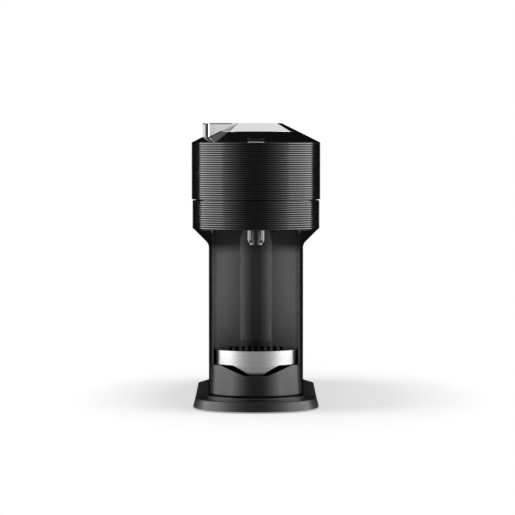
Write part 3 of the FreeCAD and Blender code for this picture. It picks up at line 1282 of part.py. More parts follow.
def side_housing():
    """One side cover of the body behind the column, with half of the rear wall."""
    wall = HOUSING_WALL
    front = COLUMN_BACK_V + SEAT_GAP
    x0 = BODY_HALF - wall
    low = box(x0, BODY_HALF, front, HOUSING_STEP_V, FOOT_H, FLARE_TOP_Z)
    high = box(x0, BODY_HALF, HOUSING_STEP_V, HOUSING_BACK_V, FOOT_H, HOUSING_TOP_Z)
    rail = box(x0, BODY_HALF, DECK_BACK_V + SEAT_GAP, HOUSING_BACK_V, HOUSING_TOP_Z, DECK_TOP_Z)
    rear = box(SEAT_GAP / 2.0, BODY_HALF, HOUSING_BACK_V - wall, HOUSING_BACK_V, PLATE_TOP_Z, DECK_TOP_Z)
    duct = rod(SOCKET_NIPPLE_R + HOSE_BORE_R + RUN_GAP, point(0, HOUSING_BACK_V - wall, PUMP_Z),
               point(0, HOUSING_BACK_V, PUMP_Z))
    cover = fuse([low, high, rail, rear]).cut(duct).cut(post(DRUM_R, LOWER_DRUM_Z, HOUSING_TOP_Z))
    side = BODY_HALF - SEAT_GAP
    level = DECK_TOP_Z - SEAT_GAP
    cover = rounded(cover, TOP_ROUND, lambda edge: edge.XMin > side and edge.ZMin > level)
    step = HOUSING_STEP_V + SEAT_GAP
    return rounded(cover, TOP_ROUND, lambda edge: edge.XMin > side and edge.ZMin > FLARE_TOP_Z - SEAT_GAP
                   and edge.YMax < step)


def right_housing():
    """The right side cover."""
    return side_housing()


def left_housing():
    """The left side cover."""
    return mirrored(side_housing())


def rear_deck():
    """The top cover behind the lid, with a tab over the capsule mouth."""
    plate = box(-BODY_HALF, BODY_HALF, DECK_FRONT_V, DECK_BACK_V, HOUSING_TOP_Z, DECK_TOP_Z)
    level = DECK_TOP_Z - SEAT_GAP
    plate = rounded(plate, TOP_ROUND, lambda edge: edge.ZMin > level and edge.XLength < SEAT_GAP)
    mouth = HINGE_INNER_X - SEAT_GAP
    tab = box(-mouth, mouth, DECK_MOUTH_V, DECK_FRONT_V, HOUSING_TOP_Z, DECK_TOP_Z)
    return fuse([plate, tab])


def capsule_chute():
    """The slope that used capsules slide down into the container."""
    outer = CHUTE_HALF + CHUTE_WALL
    start_low = (CHUTE_START_V, CHUTE_START_Z - CHUTE_WALL)
    end_low = (CHUTE_END_V, CHUTE_END_Z - CHUTE_WALL)
    floor = side_profile([(CHUTE_START_V, CHUTE_START_Z), (CHUTE_END_V, CHUTE_END_Z), end_low, start_low],
                         -outer, outer)
    side = [start_low, (CHUTE_START_V, CHUTE_START_Z + CHUTE_SIDE_H),
            (CHUTE_END_V, CHUTE_END_Z + CHUTE_SIDE_H), end_low]
    wall = side_profile(side, CHUTE_HALF, outer)
    return fuse([floor, wall, mirrored(wall)])


def chassis():
    """The inner frame: two walls, side webs, floor and the container's shelf."""
    half = CHASSIS_HALF
    wall_t = CHASSIS_WALL_T
    low = CHASSIS_FLOOR_Z
    back = HOUSING_BACK_V - HOUSING_WALL - SEAT_GAP
    front_wall = box(-half, half, CHASSIS_WALL_V, CHASSIS_WALL_V + wall_t, low, LOWER_DRUM_Z)
    floor = box(-half, half, CHASSIS_WALL_V, back, low, CHASSIS_FLOOR_TOP_Z)
    bay_top = CHUTE_END_Z - CHUTE_WALL
    bay_wall = box(-half, half, BAY_WALL_V, BAY_WALL_V + wall_t, low, bay_top)
    shelf = box(-half, half, BAY_WALL_V, back, SHELF_Z - SHELF_T, SHELF_Z)
    shape = fuse([front_wall, floor, bay_wall, shelf])
    web = box(half - wall_t, half, CHASSIS_WALL_V, BAY_WALL_V, low, bay_top)
    pillar = box(half - wall_t, half, BRACKET_FRONT_V, BRACKET_BACK_V, bay_top, BRACKET_BOTTOM_Z)
    shape = fuse([shape, web, mirrored(web), pillar, mirrored(pillar)])
    duct_r = PUMP_PORT_R + HOSE_BORE_R + RUN_GAP
    shape = shape.cut(rod(duct_r, point(PUMP_X, BAY_WALL_V, PUMP_Z),
                          point(PUMP_X, BAY_WALL_V + wall_t, PUMP_Z)))
    for x, v in base_screw_places():
        shape = shape.cut(post(SCREW_R, low, CHASSIS_FLOOR_TOP_Z, x, v))
    return shape


def capsule_container():
    """The bin for used capsules, open at the top and low at the front."""
    low = SHELF_Z + RUN_GAP
    wall = CONTAINER_WALL
    half = CONTAINER_HALF
    bin_solid = box(-half, half, CONTAINER_FRONT_V, CONTAINER_BACK_V, low, CONTAINER_TOP_Z)
    hollow = box(-half + wall, half - wall, CONTAINER_FRONT_V + wall, CONTAINER_BACK_V - wall,
                 low + wall, CONTAINER_TOP_Z)
    mouth = box(-CONTAINER_MOUTH_HALF, CONTAINER_MOUTH_HALF, CONTAINER_FRONT_V, CONTAINER_FRONT_V + wall,
                CONTAINER_MOUTH_Z, CONTAINER_TOP_Z)
    return bin_solid.cut(hollow).cut(mouth)


def container_cover():
    """The bin's top cover with a finger grip."""
    half = CONTAINER_HALF
    front = DECK_BACK_V + RUN_GAP
    back = HOUSING_BACK_V - HOUSING_WALL - RUN_GAP
    plate = box(-half, half, front, back, CONTAINER_TOP_Z, COVER_TOP_Z)
    hollow = box(-half + CONTAINER_WALL, half - CONTAINER_WALL, CONTAINER_FRONT_V + CONTAINER_WALL,
                 CONTAINER_BACK_V - CONTAINER_WALL, CONTAINER_TOP_Z, COVER_TOP_Z - CONTAINER_WALL)
    mid = (front + back) / 2.0
    reach = GRIP_DEPTH / 2.0
    grip = box(-GRIP_HALF, GRIP_HALF, mid - reach, mid + reach, CONTAINER_TOP_Z, COVER_TOP_Z)
    ends = [post(reach, CONTAINER_TOP_Z, COVER_TOP_Z, side * GRIP_HALF, mid) for side in (-1, 1)]
    level = COVER_TOP_Z - SEAT_GAP
    plate = rounded(plate, COVER_ROUND, lambda edge: edge.ZMin > level)
    return plate.cut(hollow).cut(fuse([grip] + ends))


# Water tank

def tank_outline(half, front, z0, z1):
    """The tank's D-shaped plan."""
    return stadium(half, front, TANK_CENTRE_V, z0, z1)


def tank_plinth():
    """The stand under the tank, in one line with the body's sides."""
    front = HOUSING_BACK_V + SEAT_GAP
    shell = tank_outline(BODY_HALF, front, FOOT_H, PLINTH_TOP_Z)
    hollow = tank_outline(BODY_HALF - HOUSING_WALL, HOUSING_BACK_V, FOOT_H, PLINTH_TOP_Z - PLINTH_TOP_T)
    shell = shell.cut(hollow)
    shell = shell.cut(post(SOCKET_R, FOOT_H, PLINTH_TOP_Z, 0, VALVE_V))
    return shell.cut(gland_rod(GLAND_R, 0.0, REAR_V))


def gland_wall_v():
    """Where the plinth's outer face lies behind the cord gland."""
    return TANK_CENTRE_V + math.sqrt(BODY_HALF ** 2 - GLAND_X ** 2)


def gland_rod(r, start, end):
    """A cylinder along v at the cord gland."""
    return rod(r, point(GLAND_X, gland_wall_v() - GLAND_LEN + start, GLAND_Z), point(GLAND_X, end, GLAND_Z))


def cord_gland():
    """The bush in the plinth's rear wall where a mains lead enters."""
    wall = gland_wall_v()
    outer_end = wall - RUN_GAP
    body = gland_rod(GLAND_R, 0.0, outer_end)
    flange_start = -GLAND_FLANGE_T
    flange = gland_rod(GLAND_FLANGE_R, flange_start, wall - GLAND_LEN)
    return fuse([body, flange]).cut(gland_rod(GLAND_BORE_R, flange_start, outer_end))


def water_tank():
    """The D-shaped clear tank with its outlet neck and hinge ears."""
    shell = tank_outline(TANK_R, TANK_FRONT_V, TANK_BOTTOM_Z, TANK_TOP_Z)
    hollow = tank_outline(TANK_R - TANK_WALL, TANK_FRONT_V + TANK_WALL, TANK_BOTTOM_Z + TANK_WALL, TANK_TOP_Z)
    neck = post(VALVE_NECK_R, VALVE_NECK_Z, TANK_BOTTOM_Z + TANK_WALL, 0, VALVE_V)
    shape = fuse([shell.cut(hollow), neck, tank_bridge()])
    seat_top = VALVE_NECK_Z + VALVE_SEAT_T
    shape = shape.cut(post(VALVE_NECK_BORE_R, seat_top, TANK_BOTTOM_Z + TANK_WALL, 0, VALVE_V))
    shape = shape.cut(post(VALVE_SEAT_BORE_R, VALVE_NECK_Z, seat_top, 0, VALVE_V))
    return fuse([shape, valve_guide()])


def tank_hinge_z():
    """Height of the tank lid's hinge, in the middle of the lid's thickness."""
    return TANK_TOP_Z + RUN_GAP + TANK_LID_T / 2.0


def tank_bridge():
    """The fixed strip behind the tank's lid, with two ears and the hinge pin between them."""
    top = TANK_TOP_Z + RUN_GAP + TANK_LID_T
    strip_v = TANK_HINGE_V + TANK_LID_T / 2.0 + 2.0 * RUN_GAP
    strip = tank_outline(TANK_R, TANK_FRONT_V, TANK_TOP_Z, top)
    strip = strip.common(box(-TANK_R, TANK_R, strip_v, REAR_V, TANK_TOP_Z, top))
    strip = rounded(strip, TANK_LID_ROUND,
                    lambda edge: edge.ZMin > top - RUN_GAP and edge.YMax > strip_v + RUN_GAP)
    ear = box(TANK_HINGE_HALF, TANK_HINGE_HALF + TANK_WALL, TANK_HINGE_V - TANK_PIN_R - 2.0 * RUN_GAP,
              strip_v + TANK_WALL, TANK_TOP_Z, top)
    pin = cross_rod(TANK_PIN_R, -TANK_HINGE_HALF, TANK_HINGE_HALF, TANK_HINGE_V, tank_hinge_z())
    return fuse([strip, ear, mirrored(ear), pin])


def tank_lid():
    """The tank's flap, hinged at its rear."""
    z0 = TANK_TOP_Z + RUN_GAP
    z1 = z0 + TANK_LID_T
    plate = tank_outline(TANK_R, TANK_FRONT_V, z0, z1)
    plate = plate.common(box(-TANK_R, TANK_R, TANK_FRONT_V, TANK_HINGE_V, z0, z1))
    hinge_side = TANK_HINGE_V - RUN_GAP
    plate = rounded(plate, TANK_LID_ROUND, lambda edge: edge.ZMin > z1 - RUN_GAP and edge.YMin < hinge_side)
    notch = box(TANK_HINGE_HALF - RUN_GAP, TANK_HINGE_HALF + TANK_WALL + RUN_GAP,
                TANK_HINGE_V - TANK_LID_T / 2.0 - 4.0 * RUN_GAP, TANK_HINGE_V, z0, z1)
    inset = TANK_WALL + 2.0 * RUN_GAP
    front = TANK_FRONT_V + inset
    skirt = stadium(TANK_R - inset, front, TANK_CENTRE_V, z0 - TANK_LID_SKIRT, z0)
    skirt = skirt.cut(stadium(TANK_R - inset - TANK_WALL, front + TANK_WALL, TANK_CENTRE_V,
                              z0 - TANK_LID_SKIRT, z0))
    skirt = skirt.cut(box(-TANK_R, TANK_R, TANK_CENTRE_V, REAR_V, z0 - TANK_LID_SKIRT, z0))
    half = TANK_HINGE_HALF - RUN_GAP
    knuckle = cross_rod(TANK_LID_T / 2.0, -half, half, TANK_HINGE_V, tank_hinge_z())
    lid = fuse([plate.cut(notch).cut(mirrored(notch)), skirt, knuckle])
    return lid.cut(cross_rod(TANK_PIN_R + PIN_GAP, -half, half, TANK_HINGE_V, tank_hinge_z()))


def tank_valve_stem():
    """The valve's mushroom stem, which the socket's post lifts."""
    seat_top = VALVE_NECK_Z + VALVE_SEAT_T
    head = post(VALVE_HEAD_R, seat_top + RUN_GAP, seat_top + RUN_GAP + VALVE_HEAD_T, 0, VALVE_V)
    stem = post(VALVE_STEM_R, VALVE_NECK_Z, TANK_BOTTOM_Z + TANK_WALL, 0, VALVE_V)
    return fuse([head, stem])


def valve_guide():
    """The bar across the tank's outlet that guides the stem and backs the spring."""
    top = TANK_BOTTOM_Z + TANK_WALL
    z0 = top - VALVE_SEAT_T
    half = VALVE_STEM_R + VALVE_SEAT_T / 2.0
    bar = box(-VALVE_NECK_R, VALVE_NECK_R, VALVE_V - half, VALVE_V + half, z0, top)
    bar = bar.common(post(VALVE_NECK_R, z0, top, 0, VALVE_V))
    return bar.cut(post(VALVE_STEM_R + PIN_GAP, z0, top, 0, VALVE_V))


def tank_valve_spring():
    """The valve's closing spring, as one sleeve of its outer size."""
    z0 = VALVE_NECK_Z + VALVE_SEAT_T + RUN_GAP + VALVE_HEAD_T
    z1 = TANK_BOTTOM_Z + TANK_WALL - VALVE_SEAT_T
    return ring(VALVE_STEM_R + RUN_GAP, VALVE_SPRING_R, z0 + RUN_GAP, z1, 0, VALVE_V)


def tank_socket():
    """The cup in the plinth that the tank's neck plugs into, with the post that opens the valve."""
    floor_top = SOCKET_FLOOR_Z + SOCKET_FLOOR_T
    cup = ring(SOCKET_BORE_R, SOCKET_R, SOCKET_FLOOR_Z, PLINTH_TOP_Z, 0, VALVE_V)
    floor = post(SOCKET_R, SOCKET_FLOOR_Z, floor_top, 0, VALVE_V)
    pin = post(SOCKET_POST_R, floor_top, VALVE_NECK_Z - RUN_GAP, 0, VALVE_V)
    nipple = post(SOCKET_NIPPLE_R, SOCKET_NIPPLE_Z, SOCKET_FLOOR_Z, 0, VALVE_V)
    return fuse([cup, floor, pin, nipple])


def socket_seal():
    """The ring seal round the tank's neck."""
    z0 = PLINTH_TOP_Z - SEAL_T - RUN_GAP
    return ring(VALVE_NECK_R + RUN_GAP, SOCKET_BORE_R, z0, z0 + SEAL_T, 0, VALVE_V)


# Water path and electrics

def flow_meter():
    """The round flow meter on the chassis floor, with a port at each side."""
    low = CHASSIS_FLOOR_TOP_Z
    bottom = PUMP_Z - METER_H / 2.0
    body = post(METER_R, bottom, bottom + METER_H, PUMP_X, METER_V)
    foot = post(METER_R / 2.0, low, bottom, PUMP_X, METER_V)
    reach = METER_R + METER_PORT_LEN
    ports = rod(PUMP_PORT_R, point(PUMP_X, METER_V - reach, PUMP_Z), point(PUMP_X, METER_V + reach, PUMP_Z))
    return fuse([body, foot, ports])


def pump():
    """The vibration pump: round barrel, square coil and a port at each end."""
    barrel = rod(PUMP_R, point(PUMP_X, PUMP_FRONT_V, PUMP_Z), point(PUMP_X, PUMP_BACK_V, PUMP_Z))
    core = box(PUMP_X - PUMP_CORE_HALF, PUMP_X + PUMP_CORE_HALF, PUMP_CORE_FRONT_V, PUMP_CORE_BACK_V,
               PUMP_Z - PUMP_CORE_HALF, PUMP_Z + PUMP_CORE_HALF)
    outlet = rod(HOSE_BORE_R, point(PUMP_X, PUMP_FRONT_V - PUMP_PORT_LEN, PUMP_Z),
                 point(PUMP_X, PUMP_FRONT_V, PUMP_Z))
    inlet = rod(PUMP_PORT_R, point(PUMP_X, PUMP_BACK_V, PUMP_Z),
                point(PUMP_X, PUMP_BACK_V + PUMP_PORT_LEN, PUMP_Z))
    return fuse([barrel, core, outlet, inlet])


def pump_mounts():
    """Two rubber rings that stand the pump on the chassis floor."""
    mounts = []
    for v in (MOUNT_FRONT_V, MOUNT_BACK_V):
        cuff = rod(MOUNT_R, point(PUMP_X, v, PUMP_Z), point(PUMP_X, v + MOUNT_W, PUMP_Z))
        foot = box(PUMP_X - MOUNT_FOOT_HALF, PUMP_X + MOUNT_FOOT_HALF, v, v + MOUNT_W,
                   CHASSIS_FLOOR_TOP_Z, PUMP_Z)
        bore = rod(PUMP_R, point(PUMP_X, v, PUMP_Z), point(PUMP_X, v + MOUNT_W, PUMP_Z))
        mounts.append(fuse([cuff, foot]).cut(bore))
    return group(mounts)


def heater():
    """The cast heater block on the chassis wall, with two ports on top."""
    block = box(-HEATER_HALF, HEATER_HALF, HEATER_FRONT_V, HEATER_BACK_V, HEATER_BOTTOM_Z, HEATER_TOP_Z)
    block = rounded(block, HEATER_ROUND, lambda edge: edge.ZLength > HEATER_ROUND)
    wall = CHASSIS_WALL_V + CHASSIS_WALL_T
    mid = (HEATER_BOTTOM_Z + HEATER_TOP_Z) / 2.0
    lug = box(-HEATER_LUG_HALF, HEATER_LUG_HALF, wall, HEATER_FRONT_V, mid - HEATER_LUG_H, mid + HEATER_LUG_H)
    v = (HEATER_FRONT_V + HEATER_BACK_V) / 2.0
    ports = [post(HOSE_BORE_R, HEATER_TOP_Z, HEATER_TOP_Z + HEATER_PORT_LEN, side * HEATER_PORT_X, v)
             for side in (-1, 1)]
    return fuse([block, lug] + ports)


def control_board():
    """The circuit board beside the pump on four stand-offs, with relays."""
    board = box(BOARD_X, BOARD_X + PCB_T, BOARD_FRONT_V, BOARD_BACK_V, BOARD_BOTTOM_Z, BOARD_TOP_Z)
    stands = []
    for v in (BOARD_FRONT_V + STANDOFF_INSET, BOARD_BACK_V - STANDOFF_INSET):
        for z in (BOARD_BOTTOM_Z + STANDOFF_INSET, BOARD_TOP_Z - STANDOFF_INSET):
            stands.append(cross_rod(STANDOFF_R, BOARD_X + PCB_T, CHASSIS_HALF - CHASSIS_WALL_T, v, z))
    relays = []
    for v in (BOARD_FRONT_V + 2.0 * STANDOFF_INSET, BOARD_BACK_V - 2.0 * STANDOFF_INSET - RELAY_W):
        z = (BOARD_BOTTOM_Z + BOARD_TOP_Z - RELAY_H) / 2.0
        relays.append(box(BOARD_X - RELAY_T, BOARD_X, v, v + RELAY_W, z, z + RELAY_H))
    return fuse([board] + stands + relays)


def suction_hoses():
    """The suction line: a bent hose from the socket to the flow meter, a straight one to the pump."""
    top = point(0, VALVE_V, SOCKET_FLOOR_Z - RUN_GAP)
    elbow = point(0, VALVE_V, PUMP_Z)
    joint = point(PUMP_X, METER_V + METER_R + METER_PORT_LEN + 2.0 * HOSE_BEND_R, PUMP_Z)
    end = point(PUMP_X, METER_V + METER_R + RUN_GAP, PUMP_Z)
    turn = point(0, joint.y + 2.0 * HOSE_BEND_R, PUMP_Z)
    bent = hose([top, elbow, turn, joint, end], SOCKET_NIPPLE_R + HOSE_BORE_R, SOCKET_NIPPLE_R)
    start = point(PUMP_X, PUMP_BACK_V + RUN_GAP, PUMP_Z)
    stop = point(PUMP_X, METER_V - METER_R - RUN_GAP, PUMP_Z)
    straight = rod(PUMP_PORT_R + HOSE_BORE_R, start, stop).cut(rod(PUMP_PORT_R, start, stop))
    return group([bent, straight])


def heater_port(side):
    """The foot of one of the heater's two ports."""
    return point(side * HEATER_PORT_X, (HEATER_FRONT_V + HEATER_BACK_V) / 2.0, HEATER_TOP_Z + RUN_GAP)


def pressure_hose():
    """The hose from the pump's outlet up beside the heater to its inlet."""
    rise_v = CHASSIS_WALL_V + CHASSIS_WALL_T + 2.0 * HOSE_R
    side_x = -HEATER_HALF - HOSE_BEND_R + RUN_GAP
    port = heater_port(-1)
    top_z = HEATER_TOP_Z + HEATER_PORT_LEN + HOSE_BEND_R
    return hose([point(PUMP_X, PUMP_FRONT_V - RUN_GAP, PUMP_Z), point(PUMP_X, rise_v, PUMP_Z),
                 point(side_x, rise_v, PUMP_Z), point(side_x, rise_v, top_z),
                 point(port.x, port.y, top_z), port])


def hot_hose():
    """The hose from the heater's outlet up to the hinge bracket."""
    port = heater_port(1)
    top_z = HEATER_TOP_Z + HEATER_PORT_LEN + HOSE_BEND_R
    x = hot_nipple_x()
    return hose([port, point(port.x, port.y, top_z), point(x, port.y, top_z),
                 point(x, port.y, BRACKET_BOTTOM_Z - RUN_GAP)])


def hot_nipple_x():
    """Where the hot hose rises between the chute and the chassis."""
    return (CHUTE_HALF + CHUTE_WALL + CHASSIS_HALF - CHASSIS_WALL_T) / 2.0


PIECES = (
    rubber_feet, base_plate, base_screws, base_collar, column_shell,
    drip_base, cup_support, drip_grid, support_front_plate,
    lower_drum, capsule_ejector, coffee_collector, coffee_spout, capsule_holder,
    code_reader, lock_claws, hinge_bracket, hinge_pins,
    lid_shell, lid_frame, lid_cap, injector_plate, injector_shaft, motor_rotor,
    motor_stator, motor_housing, shaft_bearings, water_feed, lid_hose,
    lever_trim, lever_hub, lever_spider, lock_ring,
    brew_button, status_light, button_spring, button_board,
    right_housing, left_housing, rear_deck, capsule_chute, chassis, capsule_container, container_cover,
    tank_plinth, cord_gland, water_tank, tank_lid, tank_valve_stem, tank_valve_spring,
    tank_socket, socket_seal, flow_meter, pump, pump_mounts, heater, control_board,
    suction_hoses, pressure_hose, hot_hose,
)

os.makedirs("parts", exist_ok=True)
for build_piece in PIECES:
    shape = build_piece()
    shape.translate(FreeCAD.Vector(0, HEAD_Y, 0))
    shape.exportStep("parts/" + build_piece.__name__ + ".step")
    print(build_piece.__name__, shape.isValid(), len(shape.Solids), round(shape.Volume, 1))
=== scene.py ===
"""Looks of an upright pod coffee machine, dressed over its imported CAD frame."""

import logging
import math
from collections.abc import Callable
from dataclasses import dataclass, field
from enum import Enum
from typing import ClassVar

import bmesh
import bpy
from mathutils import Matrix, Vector


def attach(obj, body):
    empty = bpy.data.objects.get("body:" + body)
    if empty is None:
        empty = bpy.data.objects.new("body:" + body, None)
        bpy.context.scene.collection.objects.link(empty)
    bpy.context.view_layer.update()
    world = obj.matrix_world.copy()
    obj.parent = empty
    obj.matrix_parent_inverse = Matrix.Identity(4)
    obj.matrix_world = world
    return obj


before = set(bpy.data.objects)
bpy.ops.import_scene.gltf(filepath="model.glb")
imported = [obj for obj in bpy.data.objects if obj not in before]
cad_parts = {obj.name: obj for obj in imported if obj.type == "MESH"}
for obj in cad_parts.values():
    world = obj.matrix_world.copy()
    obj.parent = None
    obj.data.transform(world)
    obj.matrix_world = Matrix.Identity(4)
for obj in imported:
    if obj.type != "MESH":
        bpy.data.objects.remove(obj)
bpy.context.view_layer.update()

LOG = logging.getLogger("pod_machine")
MM_PER_M = 1000.0
WHITE = (1.0, 1.0, 1.0)
# Radians that Blender's wave pattern turns in a metre at scale 1.
WAVE_RATE = 20.0
# First value's input and the output of Blender's mix node, by kind of value.
MIX_PLACES = {"RGBA": (6, 2), "VECTOR": (4, 1)}

Rgb = tuple[float, float, float]
Point = tuple[float, float, float]
Pair = tuple[float, float]
Rings = list[list[Vector]]
Skin = bmesh.types.BMesh
Socket = bpy.types.NodeSocket


class Shade:
    """One material's node tree, with short calls that add and join nodes."""

    bevel_samples: int = 6
    edge_zone: Pair = (0.72, 0.97)

    def __init__(self, name: str) -> None:
        """Starts an empty material.

        Args:
            name: The material's name.
        """
        self.material = bpy.data.materials.new(name)
        self.material.use_nodes = True
        self.tree = self.material.node_tree
        self.tree.nodes.clear()
        self.output = self.tree.nodes.new("ShaderNodeOutputMaterial")
        self.coords = self.tree.nodes.new("ShaderNodeTexCoord").outputs["Object"]

    def feed(self, into: Socket, value: object) -> None:
        """Links a socket or sets a constant on an input.

        Args:
            into: The input to fill.
            value: A socket, a number, a colour or a vector.
        """
        if isinstance(value, bpy.types.NodeSocket):
            self.tree.links.new(value, into)
        elif isinstance(value, tuple) and into.type == "RGBA":
            into.default_value = (*value, 1.0)
        else:
            into.default_value = value

    def node(self, kind: str, **inputs: object) -> bpy.types.Node:
        """Adds a node and sets or links its inputs.

        Args:
            kind: Blender's name of the node type.
            inputs: Values or sockets by input name, with _ for a space.

        Returns:
            The new node.
        """
        made = self.tree.nodes.new(kind)
        for key, value in inputs.items():
            self.feed(made.inputs[key.replace("_", " ")], value)
        return made

    def maths(self, operation: str, *values: object, vectors: bool = False,
              output: str = "Value") -> Socket:
        """Computes with patterns.

        Args:
            operation: Blender's name of the operation.
            values: Numbers or sockets, in the order of the inputs.
            vectors: Whether the values are vectors.
            output: Name of the result.

        Returns:
            The result.
        """
        made = self.tree.nodes.new("ShaderNodeVectorMath" if vectors else "ShaderNodeMath")
        made.operation = operation
        for index, value in enumerate(values):
            self.feed(made.inputs[index], value)
        return made.outputs[output]

    def noise(self, scale: float, detail: float = 2.0,
              stretch: Point | None = None) -> Socket:
        """A noise pattern fixed to the piece.

        Args:
            scale: Spots per metre.
            detail: Octaves of finer noise.
            stretch: How much each axis is crowded.

        Returns:
            The pattern, from 0 to 1.
        """
        place = self.coords
        if stretch is not None:
            place = self.node("ShaderNodeMapping", Vector=place, Scale=stretch).outputs["Vector"]
        made = self.node("ShaderNodeTexNoise", Vector=place, Scale=scale, Detail=detail)
        return made.outputs["Fac"]

    def wave(self, scale: float, phase: float = 0.0, distortion: float = 0.0) -> Socket:
        """Level bands, one above the other.

        Args:
            scale: How closely they follow each other.
            phase: Where the first one starts.
            distortion: How much they waver.

        Returns:
            The pattern, from 0 to 1.
        """
        made = self.node("ShaderNodeTexWave", Vector=self.coords, Scale=scale,
                         Phase_Offset=phase, Distortion=distortion)
        made.bands_direction = "Z"
        return made.outputs["Fac"]

    def tracks(self, scale: float, start: float, end: float) -> Socket:
        """Square-cornered lines, as on a circuit board.

        Args:
            scale: How closely they follow each other.
            start: Distance at which a line starts.
            end: Distance from which it is full.

        Returns:
            The pattern, 1 on a line.
        """
        cells = self.node("ShaderNodeTexVoronoi", Vector=self.coords, Scale=scale)
        cells.distance = "MANHATTAN"
        cells.feature = "F2"
        return self.span(cells.outputs["Distance"], 0.0, 1.0, start, end)

    def span(self, value: Socket, low: float, high: float, start: float = 0.3,
             end: float = 0.7) -> Socket:
        """A pattern spread between two levels.

        Args:
            value: The pattern.
            low: The level at start.
            high: The level at end.
            start: Pattern value that gives low.
            end: Pattern value that gives high.

        Returns:
            The spread pattern.
        """
        spread = self.node("ShaderNodeMapRange")
        for index, entry in enumerate((value, start, end, low, high)):
            self.feed(spread.inputs[index], entry)
        return spread.outputs["Result"]

    def blend(self, mask: Socket, first: Rgb | Socket, second: Rgb | Socket,
              kind: str = "RGBA") -> Socket:
        """A colour or a vector that changes with a mask.

        Args:
            mask: The mask, from 0 to 1.
            first: The value at 0.
            second: The value at 1.
            kind: Blender's name of the kind of value.

        Returns:
            The mixed value.
        """
        mix = self.tree.nodes.new("ShaderNodeMix")
        mix.data_type = kind
        into, out = MIX_PLACES[kind]
        for index, value in ((0, mask), (into, first), (into + 1, second)):
            self.feed(mix.inputs[index], value)
        return mix.outputs[out]

    def edge(self, radius: float) -> tuple[Socket, Socket]:
        """Softened edges.

        Args:
            radius: How far from an edge the softening reaches.

        Returns:
            The softened normal and a mask that is 1 on edges.
        """
        bevel = self.node("ShaderNodeBevel", Radius=radius)
        bevel.samples = self.bevel_samples
        soft = bevel.outputs["Normal"]
        flat = self.tree.nodes.new("ShaderNodeNewGeometry").outputs["Normal"]
        facing = self.maths("DOT_PRODUCT", soft, flat, vectors=True)
        mask = self.span(facing, 1.0, 0.0, *self.edge_zone)
        return self.blend(mask, flat, soft, "VECTOR"), mask

    def bump(self, height: Socket, depth: float, normal: Socket | None = None) -> Socket:
        """A relief from a pattern.

        Args:
            height: The pattern.
            depth: Height of the relief in metres.
            normal: The normal that it stands on.

        Returns:
            The normal with the relief.
        """
        relief = self.node("ShaderNodeBump", Height=height, Strength=1.0, Distance=depth)
        if normal is not None:
            self.feed(relief.inputs["Normal"], normal)
        return relief.outputs["Normal"]

    def surface(self, plain: Rgb, pattern: Socket, **inputs: object) -> None:
        """Adds the surface shader and joins it to the output.

        Args:
            plain: The colour as one constant.
            pattern: The colour as it varies, which replaces the constant.
            inputs: Values or sockets by input name, with _ for a space.
        """
        shader = self.node("ShaderNodeBsdfPrincipled", **inputs)
        self.feed(shader.inputs["Base Color"], plain)
        self.feed(shader.inputs["Base Color"], pattern)
        self.feed(self.output.inputs["Surface"], shader.outputs["BSDF"])


Drawn = Callable[[Shade], Socket]


@dataclass(frozen=True)
class Finish:
    """What every finish has: a colour and how rough it is."""

    colour: Rgb
    roughness: float

    def coat(self, shade: Shade) -> None:
        """Lays the finish on a material.

        Args:
            shade: The material's nodes.
        """
        raise NotImplementedError


@dataclass(frozen=True)
class Moulded(Finish):
    """Moulded plastic: faint mottling, fine grain, softened and slightly rubbed edges."""

    rubbed: Rgb = (0.05, 0.05, 0.052)
    spread: float = 0.03
    grain: float = 1600.0
    grain_depth: float = 2.0e-6
    soften: float = 0.0006
    gloss_level: float = 0.5
    mottling: float = 42.0
    wear: float = 230.0
    wear_most: float = 0.6
    wear_zone: Pair = (0.42, 0.68)

    def skin(self, shade: Shade) -> tuple[Socket, Socket, float | Socket]:
        """The surface under the grain.

        Args:
            shade: The material's nodes.

        Returns:
            The normal, a mask that is 1 on edges, and how strongly the surface mirrors.
        """
        return *shade.edge(self.soften), self.gloss_level

    def tone(self, shade: Shade) -> Rgb | Socket:
        """The unworn colour.

        Args:
            shade: The material's nodes.

        Returns:
            A colour or a pattern.
        """
        return self.colour

    def coat(self, shade: Shade) -> None:
        """Lays the plastic on a material.

        Args:
            shade: The material's nodes.
        """
        normal, mask, gloss = self.skin(shade)
        patches = shade.noise(self.mottling, detail=3.0)
        rubbing = shade.span(shade.noise(self.wear, detail=3.0), 0.0, self.wear_most,
                             *self.wear_zone)
        worn = shade.maths("MULTIPLY", mask, rubbing)
        shade.surface(self.colour, shade.blend(worn, self.tone(shade), self.rubbed),
                      Roughness=shade.span(patches, self.roughness - self.spread,
                                           self.roughness + self.spread),
                      Normal=shade.bump(shade.noise(self.grain), self.grain_depth, normal),
                      Specular_IOR_Level=gloss)


